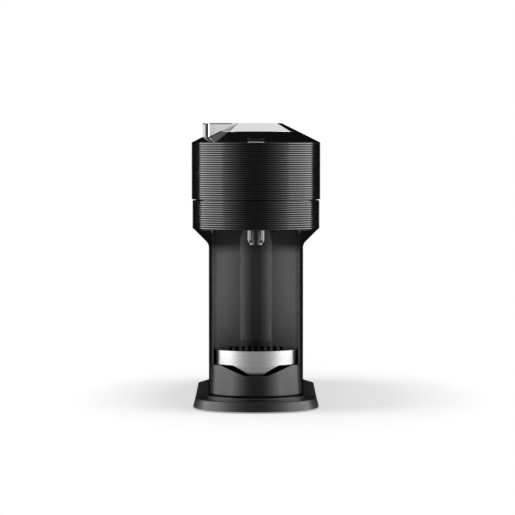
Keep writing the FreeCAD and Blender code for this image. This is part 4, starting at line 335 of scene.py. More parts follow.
@dataclass(frozen=True)
class NichePaintedLight(Moulded):
    """Gloss outside and, in the niche, painted light and shade: dark in its middle and paler to
    its sides.
    """

    rim: Pair = (0.0455, 0.0495)
    rim_painted_light_share: float = 0.05
    ceiling: Pair = (0.168, 0.18)
    ceiling_share: float = 0.15
    # Painted light and shade: inside the niche the colour pales from its dark middle to its sides
    # and darkens again at its rim, standing in for how light falls there.
    middle: Rgb = (0.05, 0.05, 0.0505)
    painted_side_light: Rgb = (0.36, 0.36, 0.362)
    painted_light_rise: Pair = (0.004, 0.036)
    painted_light_fall: Pair = (0.0425, 0.0472)

    def tone(self, shade: Shade) -> Rgb | Socket:
        """The gloss colour outside and the painted light and shade inside the niche.

        Args:
            shade: The material's nodes.

        Returns:
            A pattern.
        """
        parts = shade.node("ShaderNodeSeparateXYZ", Vector=shade.coords).outputs
        aside = shade.maths("ABSOLUTE", parts["X"])
        painted_light_mask = shade.maths("MULTIPLY", shade.span(aside, 0.0, 1.0, *self.painted_light_rise),
                            shade.span(aside, 1.0, self.rim_painted_light_share, *self.painted_light_fall))
        # Painted light and shade across the niche, dark in the middle and paler to the sides.
        painted_niche_tone = shade.blend(painted_light_mask, self.middle, self.painted_side_light)
        inside = shade.maths("MULTIPLY", shade.span(aside, 1.0, 0.0, *self.rim),
                             shade.span(parts["Z"], 1.0, self.ceiling_share, *self.ceiling))
        return shade.blend(inside, self.colour, painted_niche_tone)


@dataclass(frozen=True)
class Ribbed(Moulded):
    """Moulded plastic with level ribs whose flanks are rolled and whose grooves mirror less."""

    pitch: float = 0.0024
    phase: float = 0.0
    roll: float = 0.00014
    groove_gloss: float = 0.12
    ridge_gloss: float = 1.0
    flank_zone: Pair = (0.25, 0.75)

    def skin(self, shade: Shade) -> tuple[Socket, Socket, float | Socket]:
        """The rolled ribs under the grain.

        Args:
            shade: The material's nodes.

        Returns:
            The normal, a mask that is 1 on edges, and how strongly ridges and grooves mirror.
        """
        normal, mask, _ = super().skin(shade)
        ribs = shade.wave(2.0 * math.pi / (WAVE_RATE * self.pitch), self.phase)
        gloss = shade.span(ribs, self.groove_gloss, self.ridge_gloss, *self.flank_zone)
        return shade.bump(ribs, self.roll, normal), mask, gloss


@dataclass(frozen=True)
class Plated(Finish):
    """Bright metal: slight waviness, roughness in patches, and a painted dark reflection on its
    edges.
    """

    spread: float = 0.03
    painted_dark_edge_reflection: Rgb = (0.086, 0.086, 0.087)
    wave_depth: float = 4.0e-6
    waviness: float = 90.0
    patches: float = 60.0
    soften: float = 0.0009

    def coat(self, shade: Shade) -> None:
        """Lays the metal on a material.

        Args:
            shade: The material's nodes.
        """
        normal, mask = shade.edge(self.soften)
        patches = shade.noise(self.patches, detail=3.0)
        # Painted reflection: the edges darken as if mirroring the dark surroundings.
        shade.surface(self.colour, shade.blend(mask, self.colour, self.painted_dark_edge_reflection), Metallic=1.0,
                      Roughness=shade.span(patches, self.roughness - self.spread,
                                           self.roughness + self.spread),
                      Normal=shade.bump(shade.noise(self.waviness), self.wave_depth, normal))


@dataclass(frozen=True)
class Textured(Finish):
    """A surface with a relief, roughness in patches and a tint that goes from weak to strong.

    A tint or patches that aren't given follow the relief, and a weak or strong colour that
    isn't given is the finish's own.
    """

    relief: Drawn
    depth: float
    spread: float
    patches: Drawn | None = None
    tint: Drawn | None = None
    zone: Pair = (0.0, 1.0)
    most: float = 1.0
    weak: Rgb | None = None
    strong: Rgb | None = None
    soften: float | None = None
    inputs: dict[str, object] = field(default_factory=dict)

    def coat(self, shade: Shade) -> None:
        """Lays the surface on a material.

        Args:
            shade: The material's nodes.
        """
        relief = self.relief(shade)
        patches = self.patches(shade) if self.patches else relief
        tint = shade.span(self.tint(shade) if self.tint else relief, 0.0, self.most, *self.zone)
        normal = shade.edge(self.soften)[0] if self.soften else None
        weak, strong = self.weak or self.colour, self.strong or self.colour
        shade.surface(self.colour, shade.blend(tint, weak, strong),
                      Roughness=shade.span(patches, self.roughness - self.spread,
                                           self.roughness + self.spread),
                      Normal=shade.bump(relief, self.depth, normal), **self.inputs)


class Slot(Enum):
    """The record's material slots, then looks that some nodes have of their own."""

    GLOSS_BLACK = "gloss_black"
    SATIN_BLACK = "satin_black"
    INNER_BLACK = "inner_black"
    INNER_GREY = "inner_grey"
    SMOKE_CLEAR = "smoke_clear"
    BRIGHT_CHROME = "bright_chrome"
    SATIN_SILVER = "satin_silver"
    STEEL = "steel"
    CAST_ALLOY = "cast_alloy"
    COPPER_COIL = "copper_coil"
    BLACK_RUBBER = "black_rubber"
    CLEAR_HOSE = "clear_hose"
    BOARD_GREEN = "board_green"
    LIGHT_LENS = "light_lens"
    UPPER_RIBS = "upper_ribs"
    LOWER_RIBS = "lower_ribs"
    SPOUT_BLACK = "spout_black"
    FOOT_BLACK = "foot_black"
    DRIP_BLACK = "drip_black"
    NICHE_BLACK = "niche_black"
    HOUSING_BLACK = "housing_black"
    DARK_LENS = "dark_lens"

    def record(self) -> str:
        """The record's slot that the look belongs to."""
        return RECORD_SLOTS.get(self, self).value


RECORD_SLOTS = {
    Slot.UPPER_RIBS: Slot.SATIN_BLACK, Slot.LOWER_RIBS: Slot.SATIN_BLACK,
    Slot.HOUSING_BLACK: Slot.SATIN_BLACK, Slot.SPOUT_BLACK: Slot.GLOSS_BLACK,
    Slot.FOOT_BLACK: Slot.GLOSS_BLACK, Slot.DRIP_BLACK: Slot.GLOSS_BLACK,
    Slot.NICHE_BLACK: Slot.GLOSS_BLACK, Slot.DARK_LENS: Slot.LIGHT_LENS}


class Palette:
    """Every finish of the machine, made once and handed out by slot."""

    piano: Rgb = (0.005, 0.005, 0.0052)
    piano_rubbed: Rgb = (0.02, 0.02, 0.021)
    satin: Rgb = (0.004, 0.004, 0.0042)
    satin_rubbed: Rgb = (0.015, 0.015, 0.0155)
    satin_soften: float = 0.00025
    lens: Rgb = (0.4, 0.4, 0.41)
    middling: Pair = (0.3, 0.7)

    def __init__(self) -> None:
        """Lists the finishes; materials are made when first asked for."""
        ribs = {"rubbed": self.satin_rubbed, "soften": self.satin_soften}
        rubbed = {"rubbed": self.piano_rubbed}
        brushed = {"depth": 3.0e-6, "spread": 0.07, "zone": self.middling, "soften": 0.0004,
                   "inputs": {"Metallic": 1.0, "Anisotropic": 0.5}}
        flowing = {"relief": lambda shade: shade.noise(22.0, 3.0, (1.0, 1.0, 0.25)),
                   "depth": 6.0e-6, "spread": 0.025, "zone": self.middling, "soften": 0.0006}
        self.finishes: dict[Slot, Finish] = {
            Slot.GLOSS_BLACK: Moulded(self.piano, 0.08, gloss_level=0.75, **rubbed),
            Slot.SATIN_BLACK: Moulded(self.satin, 0.16, **ribs),
            Slot.INNER_BLACK: Moulded(
                (0.022, 0.022, 0.023), 0.45, spread=0.08, grain=1100.0, grain_depth=1.2e-5),
            Slot.INNER_GREY: Moulded(
                (0.3, 0.3, 0.31), 0.42, spread=0.08, grain=1100.0, grain_depth=1.0e-5,
                rubbed=(0.4, 0.4, 0.41)),
            Slot.SMOKE_CLEAR: Textured(
                (0.3, 0.31, 0.33), 0.065, weak=(0.27, 0.279, 0.297),
                inputs={"Transmission_Weight": 1.0, "IOR": 1.49}, **flowing),
            Slot.BRIGHT_CHROME: Plated((0.86, 0.86, 0.87), 0.07),
            Slot.SATIN_SILVER: Textured(
                (0.62, 0.62, 0.63), 0.3, lambda shade: shade.noise(4.0, 5.0, (6.0, 6.0, 900.0)),
                weak=(0.496, 0.496, 0.504), **brushed),
            Slot.STEEL: Textured(
                (0.56, 0.56, 0.57), 0.3, lambda shade: shade.noise(4.0, 5.0, (40.0, 40.0, 500.0)),
                weak=(0.448, 0.448, 0.456), **brushed),
            Slot.CAST_ALLOY: Textured(
                (0.6, 0.6, 0.62), 0.45, lambda shade: shade.noise(900.0, 4.0), depth=6.0e-5,
                spread=0.1, tint=lambda shade: shade.noise(70.0, 4.0), zone=self.middling,
                weak=(0.42, 0.42, 0.434), soften=0.0012, inputs={"Metallic": 1.0}),
            # Painted shade: the coil's colour follows its winding relief and darkens in the
            # valleys between windings.
            Slot.COPPER_COIL: Textured(
                (0.55, 0.24, 0.1), 0.3, lambda shade: shade.wave(1400.0, distortion=0.6),
                depth=8.0e-5, spread=0.08, patches=lambda shade: shade.noise(300.0),
                weak=(0.1925, 0.084, 0.035), inputs={"Metallic": 0.85, "Coat_Weight": 0.4}),
            Slot.BLACK_RUBBER: Textured(
                (0.018, 0.018, 0.018), 0.8, lambda shade: shade.noise(2400.0, 3.0), depth=2.5e-5,
                spread=0.08, tint=lambda shade: shade.noise(80.0, 4.0), zone=(0.45, 0.7), most=0.7,
                strong=(0.048, 0.048, 0.048), soften=0.0006, inputs={"Specular_IOR_Level": 0.3}),
            Slot.CLEAR_HOSE: Textured(
                (0.85, 0.85, 0.82), 0.325, weak=(0.765, 0.765, 0.738),
                inputs={"Transmission_Weight": 0.6, "IOR": 1.42}, **flowing),
            Slot.BOARD_GREEN: Textured(
                (0.03, 0.14, 0.07), 0.35, lambda shade: shade.tracks(260.0, 0.55, 0.6),
                depth=3.0e-5, spread=0.08, patches=lambda shade: shade.noise(200.0),
                strong=(0.08, 0.26, 0.12)),
            Slot.LIGHT_LENS: Textured(
                self.lens, 0.25, lambda shade: shade.noise(500.0), depth=5.0e-6, spread=0.05,
                weak=(0.34, 0.34, 0.3485), inputs={
                    "Transmission_Weight": 0.3, "Emission_Color": self.lens,
                    "Emission_Strength": 0.12}),
            Slot.UPPER_RIBS: Ribbed(self.satin, 0.16, **ribs),
            Slot.LOWER_RIBS: Ribbed(self.satin, 0.16, phase=math.pi, **ribs),
            # The niche's inside is painted light and shade over the gloss black.
            Slot.NICHE_BLACK: NichePaintedLight(self.piano, 0.1, gloss_level=0.7, **rubbed),
            Slot.HOUSING_BLACK: Moulded(
                (0.02, 0.02, 0.021), 0.36, spread=0.06, grain=1300.0, grain_depth=8.0e-6),
            Slot.FOOT_BLACK: Moulded((0.008, 0.008, 0.0082), 0.36, spread=0.05),
            Slot.DRIP_BLACK: Moulded(self.piano, 0.24, gloss_level=1.0, **rubbed),
            Slot.SPOUT_BLACK: Moulded((0.006, 0.006, 0.0062), 0.12, gloss_level=1.0),
            Slot.DARK_LENS: Moulded((0.012, 0.012, 0.013), 0.1, soften=0.0002),
        }
        self.made: dict[Slot, bpy.types.Material] = {}

    def material(self, slot: Slot) -> bpy.types.Material:
        """The material of a slot.

        Args:
            slot: The slot.

        Returns:
            Its material.
        """
        if slot not in self.made:
            shade = Shade(slot.value)
            self.finishes[slot].coat(shade)
            self.made[slot] = shade.material
        return self.made[slot]


@dataclass
class Maker:
    """Builds one added piece and hangs it on a body; lengths in mm from the head's axis."""

    name: str
    body: str
    slot: Slot
    palette: Palette
    centre_v: float = 0.0
    head_y: ClassVar[float] = -143.5
    sharp_angle: ClassVar[float] = 0.6
    full_turn: ClassVar[float] = 360.0

    def place(self, x: float, v: float, z: float) -> Vector:
        """A point of the piece in metres.

        Args:
            x: To the right of the axis.
            v: Behind the axis.
            z: Above the floor.

        Returns:
            The point.
        """
        return Vector((x / MM_PER_M, (v + self.head_y) / MM_PER_M, z / MM_PER_M))

    def loft(self, rings: Rings, closed: bool = False, mesh: Skin | None = None) -> Skin:
        """Skins a row of equal outlines.

        Args:
            rings: The outlines, each with the same number of points.
            closed: Whether the last outline joins the first.
            mesh: The skins that it joins, if any.

        Returns:
            The skin, with end faces when it is open.
        """
        if mesh is None:
            mesh = bmesh.new()
        rows = [[mesh.verts.new(spot) for spot in ring] for ring in rings]
        count = len(rings[0])
        nexts = rows[1:] + rows[:1] if closed else rows[1:]
        for first, second in zip(rows, nexts):
            for index in range(count):
                after = (index + 1) % count
                mesh.faces.new((first[index], first[after], second[after], second[index]))
        if not closed:
            mesh.faces.new(list(reversed(rows[0])))
            mesh.faces.new(rows[-1])
        return mesh

    def hang(self, mesh: Skin, round_off: float = 0.0) -> None:
        """Turns the skin into a piece that rides on its body.

        Args:
            mesh: The skin.
            round_off: Edge rounding.
        """
        bmesh.ops.recalc_face_normals(mesh, faces=mesh.faces)
        if round_off > 0.0:
            sharp = [edge for edge in mesh.edges
                     if edge.is_manifold and edge.calc_face_angle() > self.sharp_angle]
            bmesh.ops.bevel(mesh, geom=sharp, offset=round_off / MM_PER_M, segments=2,
                            affect="EDGES", profile=0.5)
        data = bpy.data.meshes.new(self.name)
        mesh.to_mesh(data)
        mesh.free()
        data.materials.append(self.palette.material(self.slot))
        piece = bpy.data.objects.new(self.name, data)
        bpy.context.scene.collection.objects.link(piece)
        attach(piece, self.body)
        self.slot.record()
        LOG.info("made %s on %s", self.name, self.body)

    def arc(self, section: list[Pair], start_deg: float, end_deg: float, steps: int) -> None:
        """Hangs a section swept round the maker's axis; a full turn is closed.

        Args:
            section: Radius and height of each corner.
            start_deg: First azimuth, from the right and counter-clockwise.
            end_deg: Last azimuth.
            steps: Number of flats.
        """
        whole = end_deg - start_deg >= self.full_turn
        rings: Rings = []
        for step in range(steps if whole else steps + 1):
            turn = math.radians(start_deg + (end_deg - start_deg) * step / steps)
            across, back = math.cos(turn), math.sin(turn)
            rings.append([self.place(r * across, self.centre_v + r * back, z)
                          for r, z in section])
        self.hang(self.loft(rings, whole))

    def bars(self, spans: list[tuple[Point, Point]], round_off: float) -> None:
        """Hangs straight bars with rounded edges, as one piece.

        Args:
            spans: The low and the high corner of each bar.
            round_off: Edge rounding.
        """
        whole = bmesh.new()
        for (left, near, low), (right, far, high) in spans:
            outline = ((near, low), (far, low), (far, high), (near, high))
            ends = [[self.place(x, v, z) for v, z in outline] for x in (left, right)]
            self.loft(ends, mesh=whole)
        self.hang(whole, round_off)


Nodes = ClassVar[dict[str, Slot]]


@dataclass
class SubAssembly:
    """A group of CAD nodes, each with its slot, and the pieces added to it."""

    palette: Palette
    nodes: Nodes = {}

    def build(self) -> None:
        """Makes the group's added pieces."""

    def maker(self, name: str, body: str, slot: Slot, centre_v: float = 0.0) -> Maker:
        """Starts an added piece.

        Args:
            name: The piece's name.
            body: The CAD body it rides on.
            slot: Its finish.
            centre_v: The axis that its arcs turn round, behind the head's axis.

        Returns:
            The piece's maker.
        """
        return Maker(name, body, slot, self.palette, centre_v)

    def dress(self) -> None:
        """Gives every CAD node of the group its finish."""
        for name, slot in self.nodes.items():
            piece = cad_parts[name]
            material = self.palette.material(slot)
            if not piece.material_slots:
                piece.data.materials.append(material)
            for holder in piece.material_slots:
                holder.material = material
            LOG.info("dressed %s in %s", name, slot.value)


@dataclass
class Foot(SubAssembly):
    """Feet, base plate, chassis and the slanted collar round the column's foot."""

    nodes: Nodes = {
        "rubber_feet": Slot.BLACK_RUBBER, "base_plate": Slot.INNER_BLACK,
        "base_screws": Slot.STEEL, "base_collar": Slot.FOOT_BLACK, "chassis": Slot.INNER_GREY}


@dataclass
class Column(SubAssembly):
    """The column with its niche wall and flare."""

    nodes: Nodes = {"column_shell": Slot.NICHE_BLACK}


@dataclass
class DripStand(SubAssembly):
    """The sliding drip base, the cup support, its grid and its bright plate."""

    nodes: Nodes = {
        "drip_base": Slot.DRIP_BLACK, "cup_support": Slot.SATIN_BLACK,
        "drip_grid": Slot.SATIN_BLACK, "support_front_plate": Slot.SATIN_SILVER}


@dataclass
class BrewBowl(SubAssembly):
    """The fixed lower half of the head and the capsule ejector."""

    nodes: Nodes = {
        "lower_drum": Slot.LOWER_RIBS, "capsule_ejector": Slot.INNER_BLACK,
        "coffee_collector": Slot.INNER_GREY, "coffee_spout": Slot.SPOUT_BLACK,
        "capsule_holder": Slot.INNER_GREY, "code_reader": Slot.INNER_BLACK,
        "lock_claws": Slot.STEEL, "hinge_bracket": Slot.INNER_BLACK, "hinge_pins": Slot.STEEL}
    window: tuple[Point, Point] = ((-3.2, -38.6, 222.6), (3.2, -34.0, 223.0))
    window_round: float = 0.12

    def build(self) -> None:
        """Sets the window into the code reader's top."""
        make = self.maker("reader_window", "base", Slot.DARK_LENS)
        make.bars([self.window], self.window_round)


@dataclass
class Lid(SubAssembly):
    """The opening upper half of the head with its drive."""

    nodes: Nodes = {
        "lid_shell": Slot.UPPER_RIBS, "lid_frame": Slot.INNER_BLACK, "lid_cap": Slot.GLOSS_BLACK,
        "injector_plate": Slot.STEEL, "injector_shaft": Slot.STEEL, "motor_rotor": Slot.STEEL,
        "motor_stator": Slot.COPPER_COIL, "motor_housing": Slot.INNER_GREY,
        "shaft_bearings": Slot.STEEL, "water_feed": Slot.INNER_GREY,
        "lid_hose": Slot.CLEAR_HOSE}
    seal_in: float = 28.4
    seal_out: float = 31.4
    seal_top: float = 232.05
    seal_side: float = 230.8
    seal_lip: float = 230.2
    seal_flats: int = 96

    def build(self) -> None:
        """Rings the injector with a lip seal under the lid frame."""
        middle = (self.seal_in + self.seal_out) / 2.0
        section = [(self.seal_in, self.seal_top), (self.seal_in, self.seal_side),
                   (middle, self.seal_lip), (self.seal_out, self.seal_side),
                   (self.seal_out, self.seal_top)]
        make = self.maker("injector_seal", "lid", Slot.BLACK_RUBBER)
        make.arc(section, 0.0, make.full_turn, self.seal_flats)


@dataclass
class Lever(SubAssembly):
    """The locking lever and what it turns; ends are a reach along the fin and its half width."""

    nodes: Nodes = {
        "lever_trim": Slot.BRIGHT_CHROME, "lever_hub": Slot.GLOSS_BLACK,
        "lever_spider": Slot.INNER_BLACK, "lock_ring": Slot.INNER_GREY}
    forward_deg: float = 23.0
    top: float = 313.75
    groove_ends: tuple[Pair, Pair] = ((57.05, 9.72), (54.55, 9.98))
    groove_low: float = 300.6
    groove_round: float = 0.1
    core_half: float = 8.52
    core_top: float = 312.92
    # Ends and lower edge of the painted dark reflection along the fin's front top edge.
    reflection_ends: tuple[Pair, Pair] = ((59.2, 9.53), (33.6, 12.16))
    reflection_low: float = 312.75
    line_round: float = 0.05
    proud: float = 0.12
    sink: float = 0.3
    tip_reach: float = 59.5
    tip_bulge: float = 1.8
    tip_half: float = 9.5
    tip_top: float = 313.6
    tip_steps: int = 8
    # The tip's thin top band is a painted dark reflection along its top edge; the inlay is the
    # tip's own black.
    tip_bands: tuple[tuple[str, float, float, float], ...] = (
        ("fin_tip_inlay", -8.6, -2.9, 298.7), ("fin_tip_painted_reflection", -2.85, 9.2, 312.5))

    def along(self, make: Maker, reach: float, corners: list[Pair]) -> list[Vector]:
        """An outline square to the fin.

        Args:
            make: The piece's maker.
            reach: Distance from the head's axis along the fin.
            corners: Offset to the fin's rear side and height of each corner.

        Returns:
            The outline.
        """
        turn = math.radians(self.forward_deg)
        return [make.place(-reach * math.cos(turn) - v * math.sin(turn),
                           -reach * math.sin(turn) + v * math.cos(turn), z) for v, z in corners]

    def build(self) -> None:
        """Fills the fin's groove, lays black strips along its top edges as painted dark
        reflections and lets an inlay into its tip.
        """
        self.fill_groove()
        self.paint_edge_reflection()
        for name, start, end, low in self.tip_bands:
            self.band_tip(name, start, end, low)

    def fill_groove(self) -> None:
        """Fills the groove round the fin flush with bright metal."""
        make = self.maker("fin_insert", "lever", Slot.BRIGHT_CHROME)
        low, core = self.groove_low, self.core_half
        rings: Rings = []
        for reach, half in self.groove_ends:
            rings.append(self.along(make, reach, [
                (-half, low), (-half, self.top), (half, self.top), (half, low), (core, low),
                (core, self.core_top), (-core, self.core_top), (-core, low)]))
        make.hang(make.loft(rings), self.groove_round)

    def paint_edge_reflection(self) -> None:
        """Lays a black strip under the fin's front top edge as a painted dark reflection."""
        make = self.maker("fin_painted_edge_reflection", "lever", Slot.GLOSS_BLACK)
        rings: Rings = []
        for reach, half in self.reflection_ends:
            front, back = -half - self.proud, -half + self.sink
            rings.append(self.along(make, reach, [(front, self.reflection_low), (front, self.top),
                                                  (back, self.top), (back, self.reflection_low)]))
        make.hang(make.loft(rings), self.line_round)

    def band_tip(self, name: str, start: float, end: float, low: float) -> None:
        """Lays a dull black band on the fin's bulging tip.

        Args:
            name: The band's name.
            start: Offset of its front edge to the fin's rear side.
            end: Offset of its rear edge.
            low: Height of its lower edge.
        """
        make = self.maker(name, "lever", Slot.BLACK_RUBBER)
        rings: Rings = []
        for step in range(self.tip_steps + 1):
            v = start + (end - start) * step / self.tip_steps
            face = self.tip_reach + self.tip_bulge * (1.0 - (v / self.tip_half) ** 2)
            outer = self.along(make, face + self.proud, [(v, low), (v, self.tip_top)])
            inner = self.along(make, face - self.sink, [(v, self.tip_top), (v, low)])
            rings.append(outer + inner)
        make.hang(make.loft(rings), self.line_round)


@dataclass
class Button(SubAssembly):
    """The brew button, its lens ring, light bar, spring and board."""

    nodes: Nodes = {
        "brew_button": Slot.GLOSS_BLACK, "status_light": Slot.DARK_LENS,
        "button_spring": Slot.STEEL, "button_board": Slot.BOARD_GREEN}
    bar_span: Pair = (262.8, 277.2)
    bar_in: float = 69.6
    bar_out: float = 70.95
    bar_low: float = 292.83
    bar_sink: float = 0.15
    bar_proud: float = 0.1
    bar_flats: int = 20

    def build(self) -> None:
        """Lays the thin light bar along the cap's lower edge under the button."""
        high = self.bar_low + (self.bar_out - self.bar_in) / 2.0
        section = [(self.bar_out, self.bar_low - self.bar_sink),
                   (self.bar_out, self.bar_low + self.bar_proud),
                   (self.bar_in, high + self.bar_proud), (self.bar_in, high - self.bar_sink)]
        make = self.maker("button_light_bar", "lid", Slot.LIGHT_LENS)
        make.arc(section, *self.bar_span, self.bar_flats)


@dataclass
class RearBody(SubAssembly):
    """The covers behind the column and the used-capsule way."""

    nodes: Nodes = {
        "right_housing": Slot.HOUSING_BLACK, "left_housing": Slot.HOUSING_BLACK,
        "rear_deck": Slot.GLOSS_BLACK, "capsule_chute": Slot.INNER_BLACK,
        "capsule_container": Slot.HOUSING_BLACK, "container_cover": Slot.GLOSS_BLACK}


@dataclass
class Tank(SubAssembly):
    """The water tank with its lid, valve, socket and plinth."""

    nodes: Nodes = {
        "tank_plinth": Slot.HOUSING_BLACK, "cord_gland": Slot.BLACK_RUBBER,
        "water_tank": Slot.SMOKE_CLEAR, "tank_lid": Slot.GLOSS_BLACK,
        "tank_valve_stem": Slot.INNER_GREY, "tank_valve_spring": Slot.STEEL,
        "tank_socket": Slot.INNER_GREY, "socket_seal": Slot.BLACK_RUBBER}
    centre_v: float = 306.0
    vent_in: float = 51.6
    vent_out: float = 52.04
    vent_half_in: float = 0.9
    vent_half_out: float = 0.8
    vent_heights: tuple[float, ...] = (33.0, 38.0, 43.0, 48.0)
    vent_spans: tuple[tuple[str, float, float], ...] = (
        ("right", 68.0, 87.2), ("left", 92.8, 112.0))
    vent_flats: int = 18
    mark_sides: Pair = (51.2, 51.85)
    mark_v: float = 284.0
    mark_halves: tuple[Pair, ...] = (
        (84.0, 13.0), (116.0, 7.0), (148.0, 7.0), (180.0, 7.0), (212.0, 13.0))
    mark_thick: float = 0.6
    mark_round: float = 0.15
    ridge_half: float = 12.0
    ridge_places: tuple[float, ...] = (258.5, 261.5, 264.5)
    ridge_thick: float = 0.6
    ridge_heights: Pair = (237.95, 238.85)
    ridge_round: float = 0.3

    def build(self) -> None:
        """Adds the plinth's rear vents, the tank's level ribs and the ridges on its lid."""
        for number, z in enumerate(self.vent_heights, 1):
            section = [(self.vent_in, z - self.vent_half_in),
                       (self.vent_out, z - self.vent_half_out),
                       (self.vent_out, z + self.vent_half_out),
                       (self.vent_in, z + self.vent_half_in)]
            for side, start, end in self.vent_spans:
                make = self.maker(f"plinth_vent_{number}_{side}", "base", Slot.INNER_BLACK,
                                  self.centre_v)
                make.arc(section, start, end, self.vent_flats)
        left, right = self.mark_sides
        marks = [((left, self.mark_v - half, z - self.mark_thick),
                  (right, self.mark_v + half, z + self.mark_thick))
                 for z, half in self.mark_halves]
        self.maker("tank_level_ribs", "tank", Slot.SMOKE_CLEAR).bars(marks, self.mark_round)
        low, high = self.ridge_heights
        ridges = [((-self.ridge_half, v - self.ridge_thick, low),
                   (self.ridge_half, v + self.ridge_thick, high)) for v in self.ridge_places]
        make = self.maker("tank_lid_ridges", "tank_flap", Slot.GLOSS_BLACK)
        make.bars(ridges, self.ridge_round)


@dataclass
class WaterPath(SubAssembly):
    """Pump, heater, flow meter, hoses and the control board."""

    nodes: Nodes = {
        "flow_meter": Slot.INNER_GREY, "pump": Slot.INNER_BLACK,
        "pump_mounts": Slot.BLACK_RUBBER, "heater": Slot.CAST_ALLOY,
        "control_board": Slot.BOARD_GREEN, "suction_hoses": Slot.CLEAR_HOSE,
        "pressure_hose": Slot.CLEAR_HOSE, "hot_hose": Slot.CLEAR_HOSE}


class Seen(Enum):
    """Kinds of rays that a stage card is shown to."""

    ALL = "all"
    GLOSS = "gloss"


@dataclass(frozen=True)
class Sweep:
    """A card bent round the head's axis between two edges, each a reach and a height."""

    name: str
    azimuths: Pair
    first: Pair
    second: Pair
    steps: int = 24

    def mesh(self, axis_y: float) -> bpy.types.Mesh:
        """Builds the card's mesh; azimuths run from straight ahead to the right.

        Args:
            axis_y: Where the head's axis stands.

        Returns:
            The mesh.
        """
        start, end = self.azimuths
        points: list[Point] = []
        for step in range(self.steps + 1):
            turn = math.radians(start + (end - start) * step / self.steps)
            for reach, height in (self.first, self.second):
                points.append((reach * math.sin(turn), axis_y - reach * math.cos(turn), height))
        made = bpy.data.meshes.new(self.name)
        made.from_pydata(points, [], [(at, at + 2, at + 3, at + 1)
                                      for at in range(0, 2 * self.steps, 2)])
        return made


